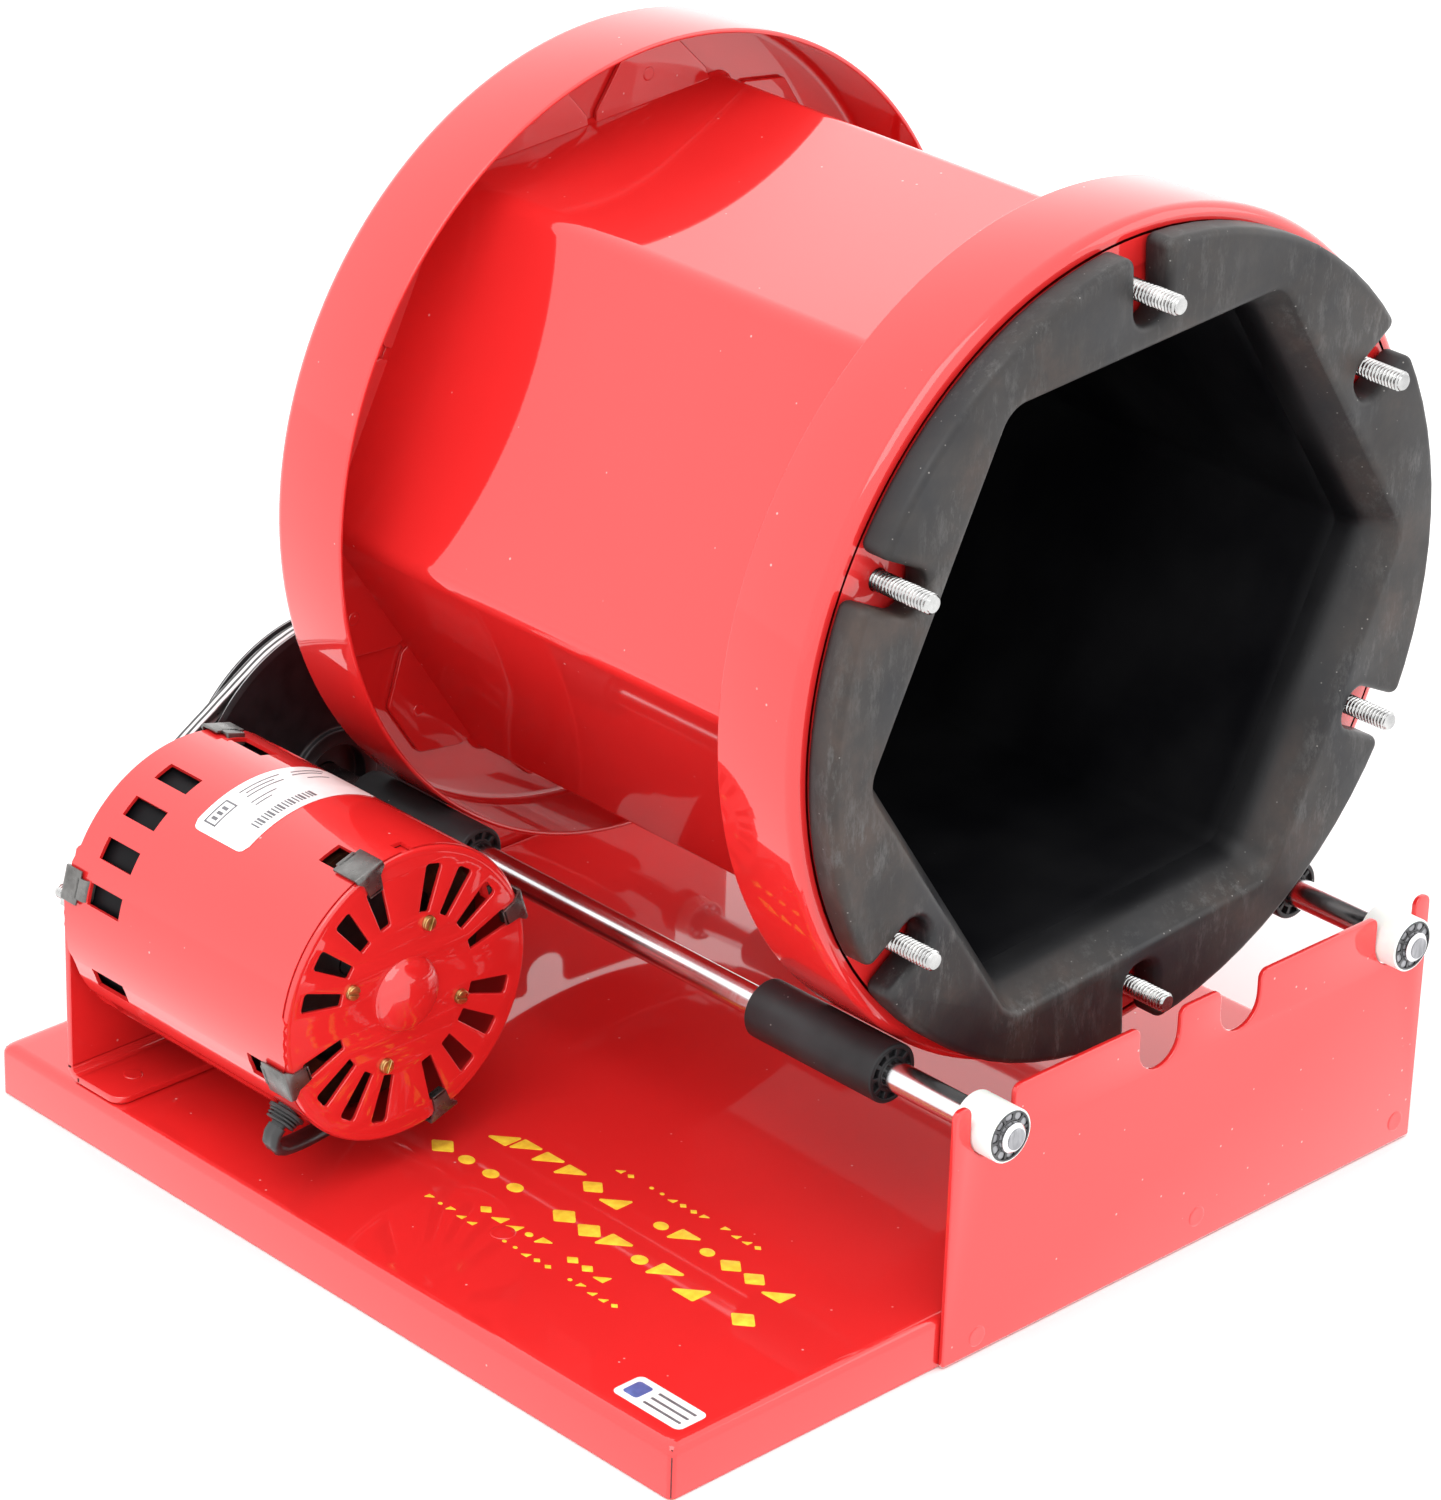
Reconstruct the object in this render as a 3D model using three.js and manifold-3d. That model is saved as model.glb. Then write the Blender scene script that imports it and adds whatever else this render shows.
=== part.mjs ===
// Rotary rock tumbler: a hexagonal steel barrel with a rubber liner rides on two roller shafts, and a
// belt from a small open motor turns one of them. Millimetres, +Z up. The barrel's axis runs along Y,
// its open end faces -Y, and the motor stands on the -X side. The origin is the middle of the footprint.
import * as THREE from "three";
import { mergeVertices } from "three/addons/utils/BufferGeometryUtils.js";
import Module from "manifold-3d";

const wasm = await Module();
wasm.setup();

// ---------------------------------------------------------------- driving dimensions
const gap = 0.3; // left between pieces that touch
const beyond = 1; // how far a cutting shape goes past what it cuts
const clipReach = 3.9; // of the motor's clips past the base's left edge
const barrelReach = 344.3; // of the barrel's right side from that edge
const leftEdge = (clipReach - barrelReach) / 2;

const base = { width: 318, depth: 307, height: 17.3, sheet: 1.9, edgeRadius: 3.5 };
const frontEdge = -base.depth / 2;

const shaft = { radius: 4.76, z: 75.7, length: 330.8, chamfer: 0.9 };
const roller = { radius: 9.5, length: 53, chamfer: 0.8, frontStart: -115, rearStart: 67 };
const bearing = { radius: 8.6, wall: 0.7, cageRadius: 7.6, cageProud: 0.4, length: 14.7, innerEnd: 147.9 };

const drum = {
  radius: 133,
  toShafts: 89, // sideways, from the drum's axis to each shaft
  halfLength: 113.3,
  bandWidth: 31.2,
  sheet: 1.5,
  hoopBend: 4, // outside radius where a hoop's web turns into its band
  apothem: 99.4, // of the hexagonal body, outside
  cornerRadius: 8,
  turn: 4, // degrees that the barrel happens to be turned
};
drum.x = leftEdge + barrelReach - drum.radius;
drum.z = shaft.z + Math.sqrt((drum.radius + roller.radius + gap) ** 2 - drum.toShafts ** 2);

const stud = { radius: 3.2, circle: 114.6, tip: -135.4, chamfer: 0.7, headRadius: 4.8, headHeight: 2 };
const liner = {
  apothem: 91.5,
  cornerRadius: 7,
  mouthApothem: 98,
  mouthDepth: 14,
  flangeRadius: 129,
  flangeFront: -124.9,
  flangeEdge: 2,
  floor: 6,
  slotWidth: 14,
  slotRoot: 105.5,
  slotCorner: 6.5,
};

const upright = { start: 106.5, width: 209.6, top: 85.8, sheet: 1.9 };
const notch = { halfWidth: 8.9, fromAxis: 17.8, rootZ: 69, lip: 3 };

const motor = {
  x: leftEdge + 45,
  z: 77,
  radius: 47.6,
  wall: 1.2,
  front: 13.4,
  rear: 114.5,
  shaftRadius: 4,
  shaftEnd: 147.5,
  shaftChamfer: 0.6,
};
const bell = {
  thickness: 1.5,
  skirt: 5,
  skirtWall: 1.2,
  rim: 1.4, // how far its face stands out of the shell
  edge: 1.2, // bevel of that face's edge
  bossRadius: 12,
  bossHeight: 5.5,
  bossDepth: 1.9, // of the boss's hollow, out of the face
};
const vent = {
  perGroup: 4,
  pitch: 19,
  middle: 46.5, // angle of the first group's middle
  inner: 26,
  outer: 41.5,
  innerWidth: 3.9,
  outerWidth: 6.4,
  corner: 1.4,
};
const clip = {
  width: 11,
  thickness: 1,
  sideLength: 13,
  faceLength: 9,
  bend: 1.4,
  front: 18, // angle of the first clip at the front
  rear: 75, // and at the rear
};
const latch = { from: 9, to: 17, width: 9 }; // the slot that a front clip hooks into, from the shell's end
const bracket = {
  start: 1.7,
  width: 86.6,
  top: 87,
  corner: 6,
  sheet: 2.4,
  foot: 25,
  face: 119.3,
  hole: 13,
};
const mountBolt = { radius: 2.4, fromAxis: 37, tip: 136, chamfer: 0.5, nutRadius: 4.6, nutHeight: 3.6 };

const pulley = {
  radius: 56.5,
  faceRadius: 54.6,
  front: 138.5,
  back: 147.5,
  hub: 17.5,
  hubFront: 136,
  recess: 12.4,
  recessEnd: 141,
};
const motorPulley = { radius: 14.5, faceRadius: 13.7, hub: 9, hubFront: 133, recess: 6, recessEnd: 134 };
const rimChamfer = 0.8;
const groove = { depth: 5, halfTop: 3.3, halfRoot: 2.5 };
const belt = { height: 4, width: 4.2, lift: 0.5, arcSteps: 20 };

const shellWindow = {
  start: 90.3,
  end: 105.3,
  width: 7.2,
  first: 75,
  steps: [0, 36, 54, 72], // angles from the first of each quarter's windows
};
const screw = { radius: 1.4, circle: 22.8, first: 69, headRadius: 2.3, headHeight: 1.1, length: 7 };
const bearingSeat = { radius: 8, depth: 14, wall: 2 };
const stator = { outer: 45.9, bore: 27, start: 40, end: 86 };
const rotorOverhang = 2;
const winding = { outer: 44, inner: 30, front: 9.5, rear: 11.5 };
const fan = {
  y: 98.6,
  radius: 36,
  blades: 9,
  hub: 9,
  hubLength: 4,
  disc: 1.4,
  blade: { inner: 11, height: 3.8, thickness: 1.2, lean: 0.2 },
};
const relief = {
  angle: 222, // round the motor, from +X
  y: 24.5,
  inner: 4.4, // radius of its taper inside the shell
  outer: 3.7, // and at its outer end
  flatness: 0.8,
  length: 20,
  reach: 5,
  flangeLength: 13,
  flangeWidth: 9,
  flangeHeight: 4.5,
};

const tabs = { fromMiddle: 2.6, width: 51, reach: 17.6, innerSlant: 11, outerSlant: 14.5, corner: 2 };
const cord = { diameter: 6.6, sides: 10, steps: 76 };
const coil = { x: leftEdge + 223, y: 219, meanRadius: 36, columns: 3, rows: 2, pitch: 7 };
const plug = {
  x: leftEdge + 251, // where its tail starts
  y: 175,
  z: 7.3,
  tail: 22,
  body: 27,
  width: 22,
  height: 13,
  tailThick: 4.4, // radius at the body
  tailThin: 3.6, // and at the cord
  backCorner: 3,
  frontCorner: 1.5,
  blade: { length: 16, width: 6.3, thickness: 1.5, apart: 12.7 },
};

const round = 48; // facets of a large turned piece
const fine = 28; // facets of a middle-sized one
const small = 16; // facets of a small one

// ---------------------------------------------------------------- finishes
const finishes = {
  enamel: { color: "#c8141a", roughness: 0.22, metalness: 0 },
  rubber: { color: "#26262a", roughness: 0.75, metalness: 0 },
  steel: { color: "#b9bcc0", roughness: 0.25, metalness: 1 },
  zinc: { color: "#c4c8c6", roughness: 0.35, metalness: 1 },
  nylon: { color: "#f1eee4", roughness: 0.4, metalness: 0 },
  cage: { color: "#3a3a3c", roughness: 0.5, metalness: 0.3 },
  iron: { color: "#151516", roughness: 0.4, metalness: 0.4 },
  brass: { color: "#b98d3e", roughness: 0.35, metalness: 1 },
  copper: { color: "#9c4f22", roughness: 0.4, metalness: 0.9 },
  lamination: { color: "#55575a", roughness: 0.55, metalness: 0.8 },
  plastic: { color: "#161617", roughness: 0.5, metalness: 0 },
};

// ---------------------------------------------------------------- solids
const degrees = THREE.MathUtils.degToRad;

/** A geometry's solid: positions only, shared vertices merged, and no triangle that has collapsed. */
function solidOf(geometry) {
  const bare = geometry.clone();
  bare.deleteAttribute("normal");
  bare.deleteAttribute("uv");
  const merged = mergeVertices(bare, 1e-4);
  const corners = merged.index.array;
  const kept = [];
  for (let i = 0; i < corners.length; i += 3) {
    const [a, b, c] = corners.slice(i, i + 3);
    if (a !== b && b !== c && c !== a) kept.push(a, b, c);
  }
  return new wasm.Manifold(
    new wasm.Mesh({
      numProp: 3,
      vertProperties: new Float32Array(merged.attributes.position.array),
      triVerts: new Uint32Array(kept),
    }),
  );
}

function geometryOf(solid) {
  const mesh = solid.getMesh();
  const geometry = new THREE.BufferGeometry();
  geometry.setAttribute("position", new THREE.BufferAttribute(mesh.vertProperties, 3));
  geometry.setIndex(new THREE.BufferAttribute(mesh.triVerts, 1));
  geometry.computeVertexNormals();
  return geometry;
}

function combine(operation, first, others) {
  const solid = others.flat().reduce((body, other) => body[operation](solidOf(other)), solidOf(first));
  return geometryOf(solid);
}
const cut = (body, ...tools) => combine("subtract", body, tools);
const join = (body, ...others) => combine("add", body, others);
const overlapOf = (body, ...others) => combine("intersect", body, others);

/** A closed outline through corners [x, y, radius], each corner rounded by an arc of its radius. */
function outline(corners) {
  const shape = new THREE.Shape();
  corners.forEach(([x, y, radius = 0], i) => {
    const here = new THREE.Vector2(x, y);
    const back = new THREE.Vector2(...corners.at(i - 1)).sub(here).normalize();
    const on = new THREE.Vector2(...corners[(i + 1) % corners.length]).sub(here).normalize();
    const half = Math.acos(THREE.MathUtils.clamp(back.dot(on), -1, 1)) / 2;
    const start = here.clone().addScaledVector(back, radius / Math.tan(half));
    const end = here.clone().addScaledVector(on, radius / Math.tan(half));
    if (i === 0) shape.moveTo(start.x, start.y);
    else shape.lineTo(start.x, start.y);
    if (radius === 0) return;
    const centre = here.clone().addScaledVector(back.clone().add(on).normalize(), radius / Math.sin(half));
    const from = start.clone().sub(centre).angle();
    const to = end.clone().sub(centre).angle();
    shape.absarc(centre.x, centre.y, radius, from, to, back.cross(on) > 0);
  });
  shape.closePath();
  return shape;
}

/** An outline drawn in X and Z, made solid from y0 to y1. */
function slab(shape, y0, y1, curveSegments = 4) {
  const geometry = new THREE.ExtrudeGeometry(shape, { depth: y1 - y0, bevelEnabled: false, curveSegments });
  return geometry.rotateX(Math.PI / 2).translate(0, y1, 0);
}

/** An outline drawn in Y and Z, made solid from x0 to x1. */
function strip(shape, x0, x1, curveSegments = 4) {
  const geometry = new THREE.ExtrudeGeometry(shape, { depth: x1 - x0, bevelEnabled: false, curveSegments });
  return geometry.rotateY(Math.PI / 2).rotateX(Math.PI / 2).translate(x0, 0, 0);
}

/** A profile of [radius, y] pairs turned about the Y axis: up the outside, then down the inside. */
function turned(profile, segments = small, closed = false) {
  const points = profile.map(([radius, y]) => new THREE.Vector2(radius, y));
  if (closed) points.push(points[0].clone());
  return new THREE.LatheGeometry(points, segments);
}

const rod = (radius, y0, y1, segments = small) =>
  turned([[0, y0], [radius, y0], [radius, y1], [0, y1]], segments);
const tube = (outer, inner, y0, y1, segments = small) =>
  turned([[inner, y0], [outer, y0], [outer, y1], [inner, y1]], segments, true);
const block = (x0, x1, y0, y1, z0, z1) =>
  new THREE.BoxGeometry(x1 - x0, y1 - y0, z1 - z0).translate((x0 + x1) / 2, (y0 + y1) / 2, (z0 + z1) / 2);

/** Turns a geometry about the Y axis so that what pointed along +X points at this angle, +Z being 90. */
const aimed = (geometry, angle) => geometry.clone().rotateY(-degrees(angle));
const around = (count, first, make) =>
  Array.from({ length: count }, (_, i) => make(first + (360 / count) * i, i));

// ---------------------------------------------------------------- scene graph
const tumbler = new THREE.Group();

function groupAt(x, z, turn = 0) {
  const group = new THREE.Group();
  group.position.set(x, 0, z);
  group.rotation.y = -degrees(turn);
  tumbler.add(group);
  return group;
}

function piece(group, name, finish, geometry) {
  const material = new THREE.MeshStandardMaterial(finishes[finish]);
  const mesh = new THREE.Mesh(geometryOf(solidOf(geometry)), material);
  mesh.name = name;
  group.add(mesh);
}

// ---------------------------------------------------------------- frame
/** A flat bar outline with its two upper corners rounded, for the folded edges of the base. */
function panOutline(start, length, inset) {
  const radius = Math.max(base.edgeRadius - inset, 0.5);
  return outline([
    [start + inset, 0],
    [start + length - inset, 0],
    [start + length - inset, base.height - inset, radius],
    [start + inset, base.height - inset, radius],
  ]);
}

function panBlock(inset) {
  const along = slab(panOutline(leftEdge, base.width, inset), frontEdge + inset, -frontEdge - inset);
  const across = strip(
    panOutline(frontEdge, base.depth, inset), leftEdge + inset, leftEdge + base.width - inset);
  return overlapOf(along, across);
}

function basePan() {
  const below = block(
    leftEdge + base.sheet, leftEdge + base.width - base.sheet,
    frontEdge + base.sheet, -frontEdge - base.sheet, -beyond, base.height / 2,
  );
  return cut(panBlock(0), panBlock(base.sheet), below);
}

/** The upright's outline: two bearing seats near its ends and two spare seats either side of the drum. */
function uprightOutline() {
  const x0 = leftEdge + upright.start;
  const seat = (x, rootZ) => [
    [x - notch.halfWidth, upright.top, notch.lip],
    [x - notch.halfWidth, rootZ, notch.halfWidth - 0.05],
    [x + notch.halfWidth, rootZ, notch.halfWidth - 0.05],
    [x + notch.halfWidth, upright.top, notch.lip],
  ];
  const shaftRoot = shaft.z - notch.halfWidth;
  return outline([
    [x0, 0],
    [x0, upright.top, notch.lip],
    ...seat(drum.x - drum.toShafts, shaftRoot),
    ...seat(drum.x - notch.fromAxis, notch.rootZ),
    ...seat(drum.x + notch.fromAxis, notch.rootZ),
    ...seat(drum.x + drum.toShafts, shaftRoot),
    [x0 + upright.width, upright.top, notch.lip],
    [x0 + upright.width, 0],
  ]);
}

function motorBracket() {
  const top = base.height + gap;
  const x0 = leftEdge + bracket.start;
  const bend = 2 * bracket.sheet;
  const back = bracket.face + bracket.sheet;
  const angle = strip(
    outline([
      [back, top, bend],
      [back, bracket.top],
      [bracket.face, bracket.top],
      [bracket.face, top + bracket.sheet, bend - bracket.sheet],
      [back - bracket.foot, top + bracket.sheet],
      [back - bracket.foot, top],
    ]),
    x0, x0 + bracket.width,
  );
  const face = slab(
    outline([
      [x0, top - beyond],
      [x0 + bracket.width, top - beyond],
      [x0 + bracket.width, bracket.top, bracket.corner],
      [x0, bracket.top, bracket.corner],
    ]),
    back - bracket.foot - beyond, back + beyond,
  );
  const hole = (radius, dx) =>
    rod(radius, bracket.face - beyond, back + beyond).translate(motor.x + dx, 0, motor.z);
  return cut(overlapOf(angle, face), hole(bracket.hole, 0), [-1, 1].map((side) =>
    hole(mountBolt.radius + gap, side * mountBolt.fromAxis)));
}

const frame = groupAt(0, 0);
piece(frame, "base_pan", "enamel", basePan());
const behindFront = frontEdge - gap;
piece(frame, "front_upright", "enamel", slab(uprightOutline(), behindFront - upright.sheet, behindFront));
piece(frame, "rear_upright", "enamel", slab(uprightOutline(), -behindFront, upright.sheet - behindFront));
piece(frame, "motor_bracket", "enamel", motorBracket());

// ---------------------------------------------------------------- roller shafts and bearings
const chamferedRod = (radius, y0, y1, chamfer, segments = small) =>
  turned(
    [
      [0, y0],
      [radius - chamfer, y0],
      [radius, y0 + chamfer],
      [radius, y1 - chamfer],
      [radius - chamfer, y1],
      [0, y1],
    ],
    segments,
  );

function rollerSleeve(start) {
  const bore = shaft.radius + gap;
  const end = start + roller.length;
  return turned(
    [
      [bore, start],
      [roller.radius - roller.chamfer, start],
      [roller.radius, start + roller.chamfer],
      [roller.radius, end - roller.chamfer],
      [roller.radius - roller.chamfer, end],
      [bore, end],
    ],
    small, true,
  );
}

for (const [side, name] of [[-1, "drive"], [1, "idler"]]) {
  const axle = groupAt(drum.x + side * drum.toShafts, shaft.z);
  const half = shaft.length / 2;
  piece(axle, `${name}_shaft`, "steel", chamferedRod(shaft.radius, -half, half, shaft.chamfer));
  piece(axle, `${name}_roller_front`, "rubber", rollerSleeve(roller.frontStart));
  piece(axle, `${name}_roller_rear`, "rubber", rollerSleeve(roller.rearStart));
  for (const [end, sense] of [["front", -1], ["rear", 1]]) {
    const ends = [sense * bearing.innerEnd, sense * (bearing.innerEnd + bearing.length)];
    const [y0, y1] = [Math.min(...ends), Math.max(...ends)];
    piece(axle, `${name}_bearing_sleeve_${end}`, "nylon",
      tube(bearing.radius, bearing.radius - bearing.wall, y0, y1));
    piece(axle, `${name}_needle_bearing_${end}`, "cage",
      tube(bearing.cageRadius, shaft.radius + gap, y0 - bearing.cageProud, y1 + bearing.cageProud));
  }
}

// ---------------------------------------------------------------- pulleys and belt
const grooveMiddle = (pulley.front + pulley.back) / 2;

/** A pulley: a recessed hub in front, then a disc with a V groove round its rim. */
function grooved({ radius, faceRadius, hub, hubFront, recess, recessEnd }, bore, segments) {
  return turned(
    [
      [bore, recessEnd],
      [recess, recessEnd],
      [recess, hubFront],
      [hub, hubFront],
      [hub, pulley.front],
      [faceRadius, pulley.front],
      [radius, pulley.front + rimChamfer],
      [radius, grooveMiddle - groove.halfTop],
      [radius - groove.depth, grooveMiddle - groove.halfRoot],
      [radius - groove.depth, grooveMiddle + groove.halfRoot],
      [radius, grooveMiddle + groove.halfTop],
      [radius, pulley.back],
      [bore, pulley.back],
    ],
    segments, true,
  );
}

const driveX = drum.x - drum.toShafts;
piece(groupAt(driveX, shaft.z), "drive_pulley", "iron", grooved(pulley, shaft.radius + gap, round));
const motorAxle = groupAt(motor.x, motor.z);
piece(motorAxle, "motor_pulley", "iron", grooved(motorPulley, motor.shaftRadius + gap, fine));

/** The outline of a loop drawn tight round both pulleys, this far out from each groove's root. */
function loopAround(offset, path) {
  const big = new THREE.Vector2(driveX, shaft.z);
  const little = new THREE.Vector2(motor.x, motor.z);
  const radii = [pulley.radius, motorPulley.radius].map((radius) => radius - groove.depth + offset);
  const lean = little.clone().sub(big).angle();
  const wrap = Math.acos((radii[0] - radii[1]) / big.distanceTo(little));
  path.absarc(big.x, big.y, radii[0], lean + wrap, lean - wrap + 2 * Math.PI);
  path.absarc(little.x, little.y, radii[1], lean - wrap, lean + wrap);
  path.closePath();
  return path;
}

const loop = loopAround(belt.lift + belt.height, new THREE.Shape());
loop.holes.push(loopAround(belt.lift, new THREE.Path()));
piece(frame, "drive_belt", "rubber",
  slab(loop, grooveMiddle - belt.width / 2, grooveMiddle + belt.width / 2, belt.arcSteps));

// ---------------------------------------------------------------- motor
const faceY = motor.front - bell.rim;
const motorMiddle = (motor.front + motor.rear) / 2;
/** What is at the motor's front end, swung round to its rear end. */
const atRear = (geometry) =>
  geometry.clone().translate(0, -motorMiddle, 0).rotateX(Math.PI).translate(0, motorMiddle, 0);

/** An outline drawn in X and Y, made solid to half of a width on either side of Z = 0. */
function radialPlate(shape, width) {
  const settings = { depth: width, bevelEnabled: false, curveSegments: 3 };
  return new THREE.ExtrudeGeometry(shape, settings).translate(0, 0, -width / 2);
}

/** A block that cuts a hole through the shell on its +X side. */
const shellHole = (y0, y1, width) =>
  block(motor.radius - motor.wall - beyond, motor.radius + beyond, y0, y1, -width / 2, width / 2);

/** The rolled shell: air windows near its rear end, and a latch slot for each front clip. */
function motorShell() {
  const window = shellHole(shellWindow.start, shellWindow.end, shellWindow.width);
  const windows = around(4, shellWindow.first, (first) =>
    shellWindow.steps.map((step) => aimed(window, first + step))).flat();
  const slot = shellHole(motor.front + latch.from, motor.front + latch.to, latch.width);
  const slots = around(4, clip.front, (angle) => aimed(slot, angle));
  return cut(tube(motor.radius, motor.radius - motor.wall, motor.front, motor.rear, round),
    windows, slots, reliefHole());
}

/** The dished end cover: a domed boss over the bearing, a flat face and a skirt inside the shell. */
function bellCover() {
  const skirtOut = motor.radius - motor.wall - gap;
  const faceIn = faceY + bell.thickness;
  const edge = motor.radius - gap;
  const dome = [0, 0.5, 0.85, 1].map((t) => [t * bell.bossRadius, faceY - bell.bossHeight * (1 - t * t)]);
  return turned(
    [
      ...dome,
      [edge - bell.edge, faceY],
      [edge, motor.front - gap],
      [skirtOut, motor.front - gap],
      [skirtOut, motor.front + bell.skirt],
      [skirtOut - bell.skirtWall, motor.front + bell.skirt],
      [skirtOut - bell.skirtWall, faceIn],
      [bearingSeat.radius + bearingSeat.wall, faceIn],
      [bearingSeat.radius + bearingSeat.wall, faceY + bearingSeat.depth],
      [bearingSeat.radius + gap, faceY + bearingSeat.depth],
      [bearingSeat.radius + gap, faceY - bell.bossDepth],
      [0, faceY - bell.bossDepth],
    ],
    fine,
  );
}

/** The radial air slots of an end cover: four groups, each slot wider towards the rim. */
function ventSlots() {
  const slot = slab(
    outline([
      [vent.inner, -vent.innerWidth / 2],
      [vent.outer, -vent.outerWidth / 2, vent.corner],
      [vent.outer, vent.outerWidth / 2, vent.corner],
      [vent.inner, vent.innerWidth / 2],
    ]),
    faceY - beyond, faceY + bell.thickness + beyond, 1,
  );
  const groupStart = vent.middle - (vent.pitch * (vent.perGroup - 1)) / 2;
  return around(4, groupStart, (start) =>
    Array.from({ length: vent.perGroup }, (_, i) => aimed(slot, start + i * vent.pitch))).flat();
}

/** A spring clip that hooks over the shell's end and holds the cover in. */
function springClip() {
  const outside = motor.radius + gap;
  const face = faceY - gap;
  const hook = motor.front + clip.sideLength;
  return radialPlate(
    outline([
      [outside + clip.thickness, hook],
      [outside, hook],
      [outside, face, clip.bend - clip.thickness],
      [outside - clip.faceLength, face],
      [outside - clip.faceLength, face - clip.thickness],
      [outside + clip.thickness, face - clip.thickness, clip.bend],
    ]),
    clip.width,
  );
}

/** A cover screw with a rounded head, standing on the cover's face. */
function coverScrew() {
  const head = faceY - gap;
  return turned([
    [0, head - screw.headHeight],
    [screw.headRadius * 0.6, head - screw.headHeight],
    [screw.headRadius, head - screw.headHeight * 0.4],
    [screw.headRadius, head],
    [screw.radius, head],
    [screw.radius, head + screw.length],
    [0, head + screw.length],
  ]).translate(screw.circle, 0, 0);
}

/** Where the lead enters the shell, pointing along +X: the relief's taper, widened to give a hole. */
const reliefTaper = (spare) =>
  new THREE.CylinderGeometry(relief.inner + spare, relief.outer + spare, relief.length, small)
    .rotateZ(Math.PI / 2)
    .scale(1, 1, relief.flatness)
    .translate(motor.radius + relief.reach - relief.length / 2, relief.y, 0);
const reliefHole = () => aimed(reliefTaper(gap), relief.angle);

function strainRelief() {
  const { flangeLength, flangeWidth } = relief;
  const corner = flangeWidth / 2 - 0.1;
  const flange = strip(
    outline([
      [-flangeLength / 2, -flangeWidth / 2, corner],
      [flangeLength / 2, -flangeWidth / 2, corner],
      [flangeLength / 2, flangeWidth / 2, corner],
      [-flangeLength / 2, flangeWidth / 2, corner],
    ]),
    motor.radius + gap, motor.radius + gap + relief.flangeHeight,
  );
  return aimed(join(reliefTaper(0), flange.translate(0, relief.y, 0)), relief.angle);
}

function fanWheel() {
  const { y, radius, blades, hub, hubLength, disc, blade } = fan;
  const top = y + disc + blade.height;
  const side = blade.thickness / 2;
  const vane = block(blade.inner, radius - beyond, y + disc / 2, top, -side, side).rotateY(blade.lean);
  return join(
    tube(hub, motor.shaftRadius + gap, y - disc / 2, y - disc / 2 + hubLength),
    tube(radius, hub - beyond, y, y + disc, fine),
    around(blades, 0, (angle) => aimed(vane, angle)),
  );
}

/** A stud on the rear cover with the nut that holds the bracket. */
function mountStud() {
  const nutStart = bracket.face + bracket.sheet + gap;
  const nut = new THREE.CylinderGeometry(mountBolt.nutRadius, mountBolt.nutRadius, mountBolt.nutHeight, 6)
    .translate(0, nutStart + mountBolt.nutHeight / 2, 0);
  const start = 2 * motorMiddle - faceY + gap;
  return join(chamferedRod(mountBolt.radius, start, mountBolt.tip, mountBolt.chamfer), nut);
}

piece(motorAxle, "motor_shell", "enamel", motorShell());
const screwHoles = around(4, screw.first, (angle) =>
  aimed(rod(screw.radius + gap, faceY - beyond, faceY + bell.thickness + beyond)
    .translate(screw.circle, 0, 0), angle));
piece(motorAxle, "motor_front_cover", "enamel", cut(bellCover(), ventSlots(), screwHoles));
const shaftHole = rod(motor.shaftRadius + gap, faceY - bell.bossHeight - beyond, faceY + beyond);
piece(motorAxle, "motor_rear_cover", "enamel", atRear(cut(bellCover(), ventSlots(), shaftHole)));
around(4, screw.first, (angle, i) =>
  piece(motorAxle, `cover_screw_${i + 1}`, "brass", aimed(coverScrew(), angle)));
around(4, clip.front, (angle, i) =>
  piece(motorAxle, `front_clip_${i + 1}`, "zinc", aimed(springClip(), angle)));
around(4, clip.rear, (angle, i) =>
  piece(motorAxle, `rear_clip_${i + 1}`, "zinc", aimed(atRear(springClip()), angle)));
piece(motorAxle, "motor_stator", "lamination",
  tube(stator.outer, stator.bore, stator.start, stator.end, fine));
piece(motorAxle, "winding_front", "copper",
  tube(winding.outer, winding.inner, stator.start - gap - winding.front, stator.start - gap, fine));
piece(motorAxle, "winding_rear", "copper",
  tube(winding.outer, winding.inner, stator.end + gap, stator.end + gap + winding.rear, fine));
const rotorBore = motor.shaftRadius + gap;
piece(motorAxle, "motor_rotor", "steel",
  tube(stator.bore - 2 * gap, rotorBore, stator.start - rotorOverhang, stator.end + rotorOverhang, fine));
piece(motorAxle, "motor_fan", "plastic", fanWheel());
const shaftStart = faceY - bell.bossDepth + gap;
piece(motorAxle, "motor_shaft", "steel",
  chamferedRod(motor.shaftRadius, shaftStart, motor.shaftEnd, motor.shaftChamfer));
const bush = tube(bearingSeat.radius, rotorBore, faceY - 1, faceY + bearingSeat.depth - 2);
piece(motorAxle, "motor_bush_front", "brass", bush);
piece(motorAxle, "motor_bush_rear", "brass", atRear(bush));
for (const [side, name] of [[-1, "left"], [1, "right"]]) {
  piece(motorAxle, `mount_stud_${name}`, "zinc", mountStud().translate(side * mountBolt.fromAxis, 0, 0));
}
piece(motorAxle, "strain_relief", "plastic", strainRelief());

// ---------------------------------------------------------------- barrel
const hexAngle = 30; // the barrel's own frame has a flat's middle here, and every 60 degrees on

/** A hexagon with rounded corners, its flats this far from the axis. */
function hexagon(apothem, cornerRadius) {
  const corner = apothem / Math.cos(degrees(30));
  return outline(around(6, hexAngle - 30, (angle) => [
    corner * Math.cos(degrees(angle)), corner * Math.sin(degrees(angle)), cornerRadius,
  ]));
}

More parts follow.
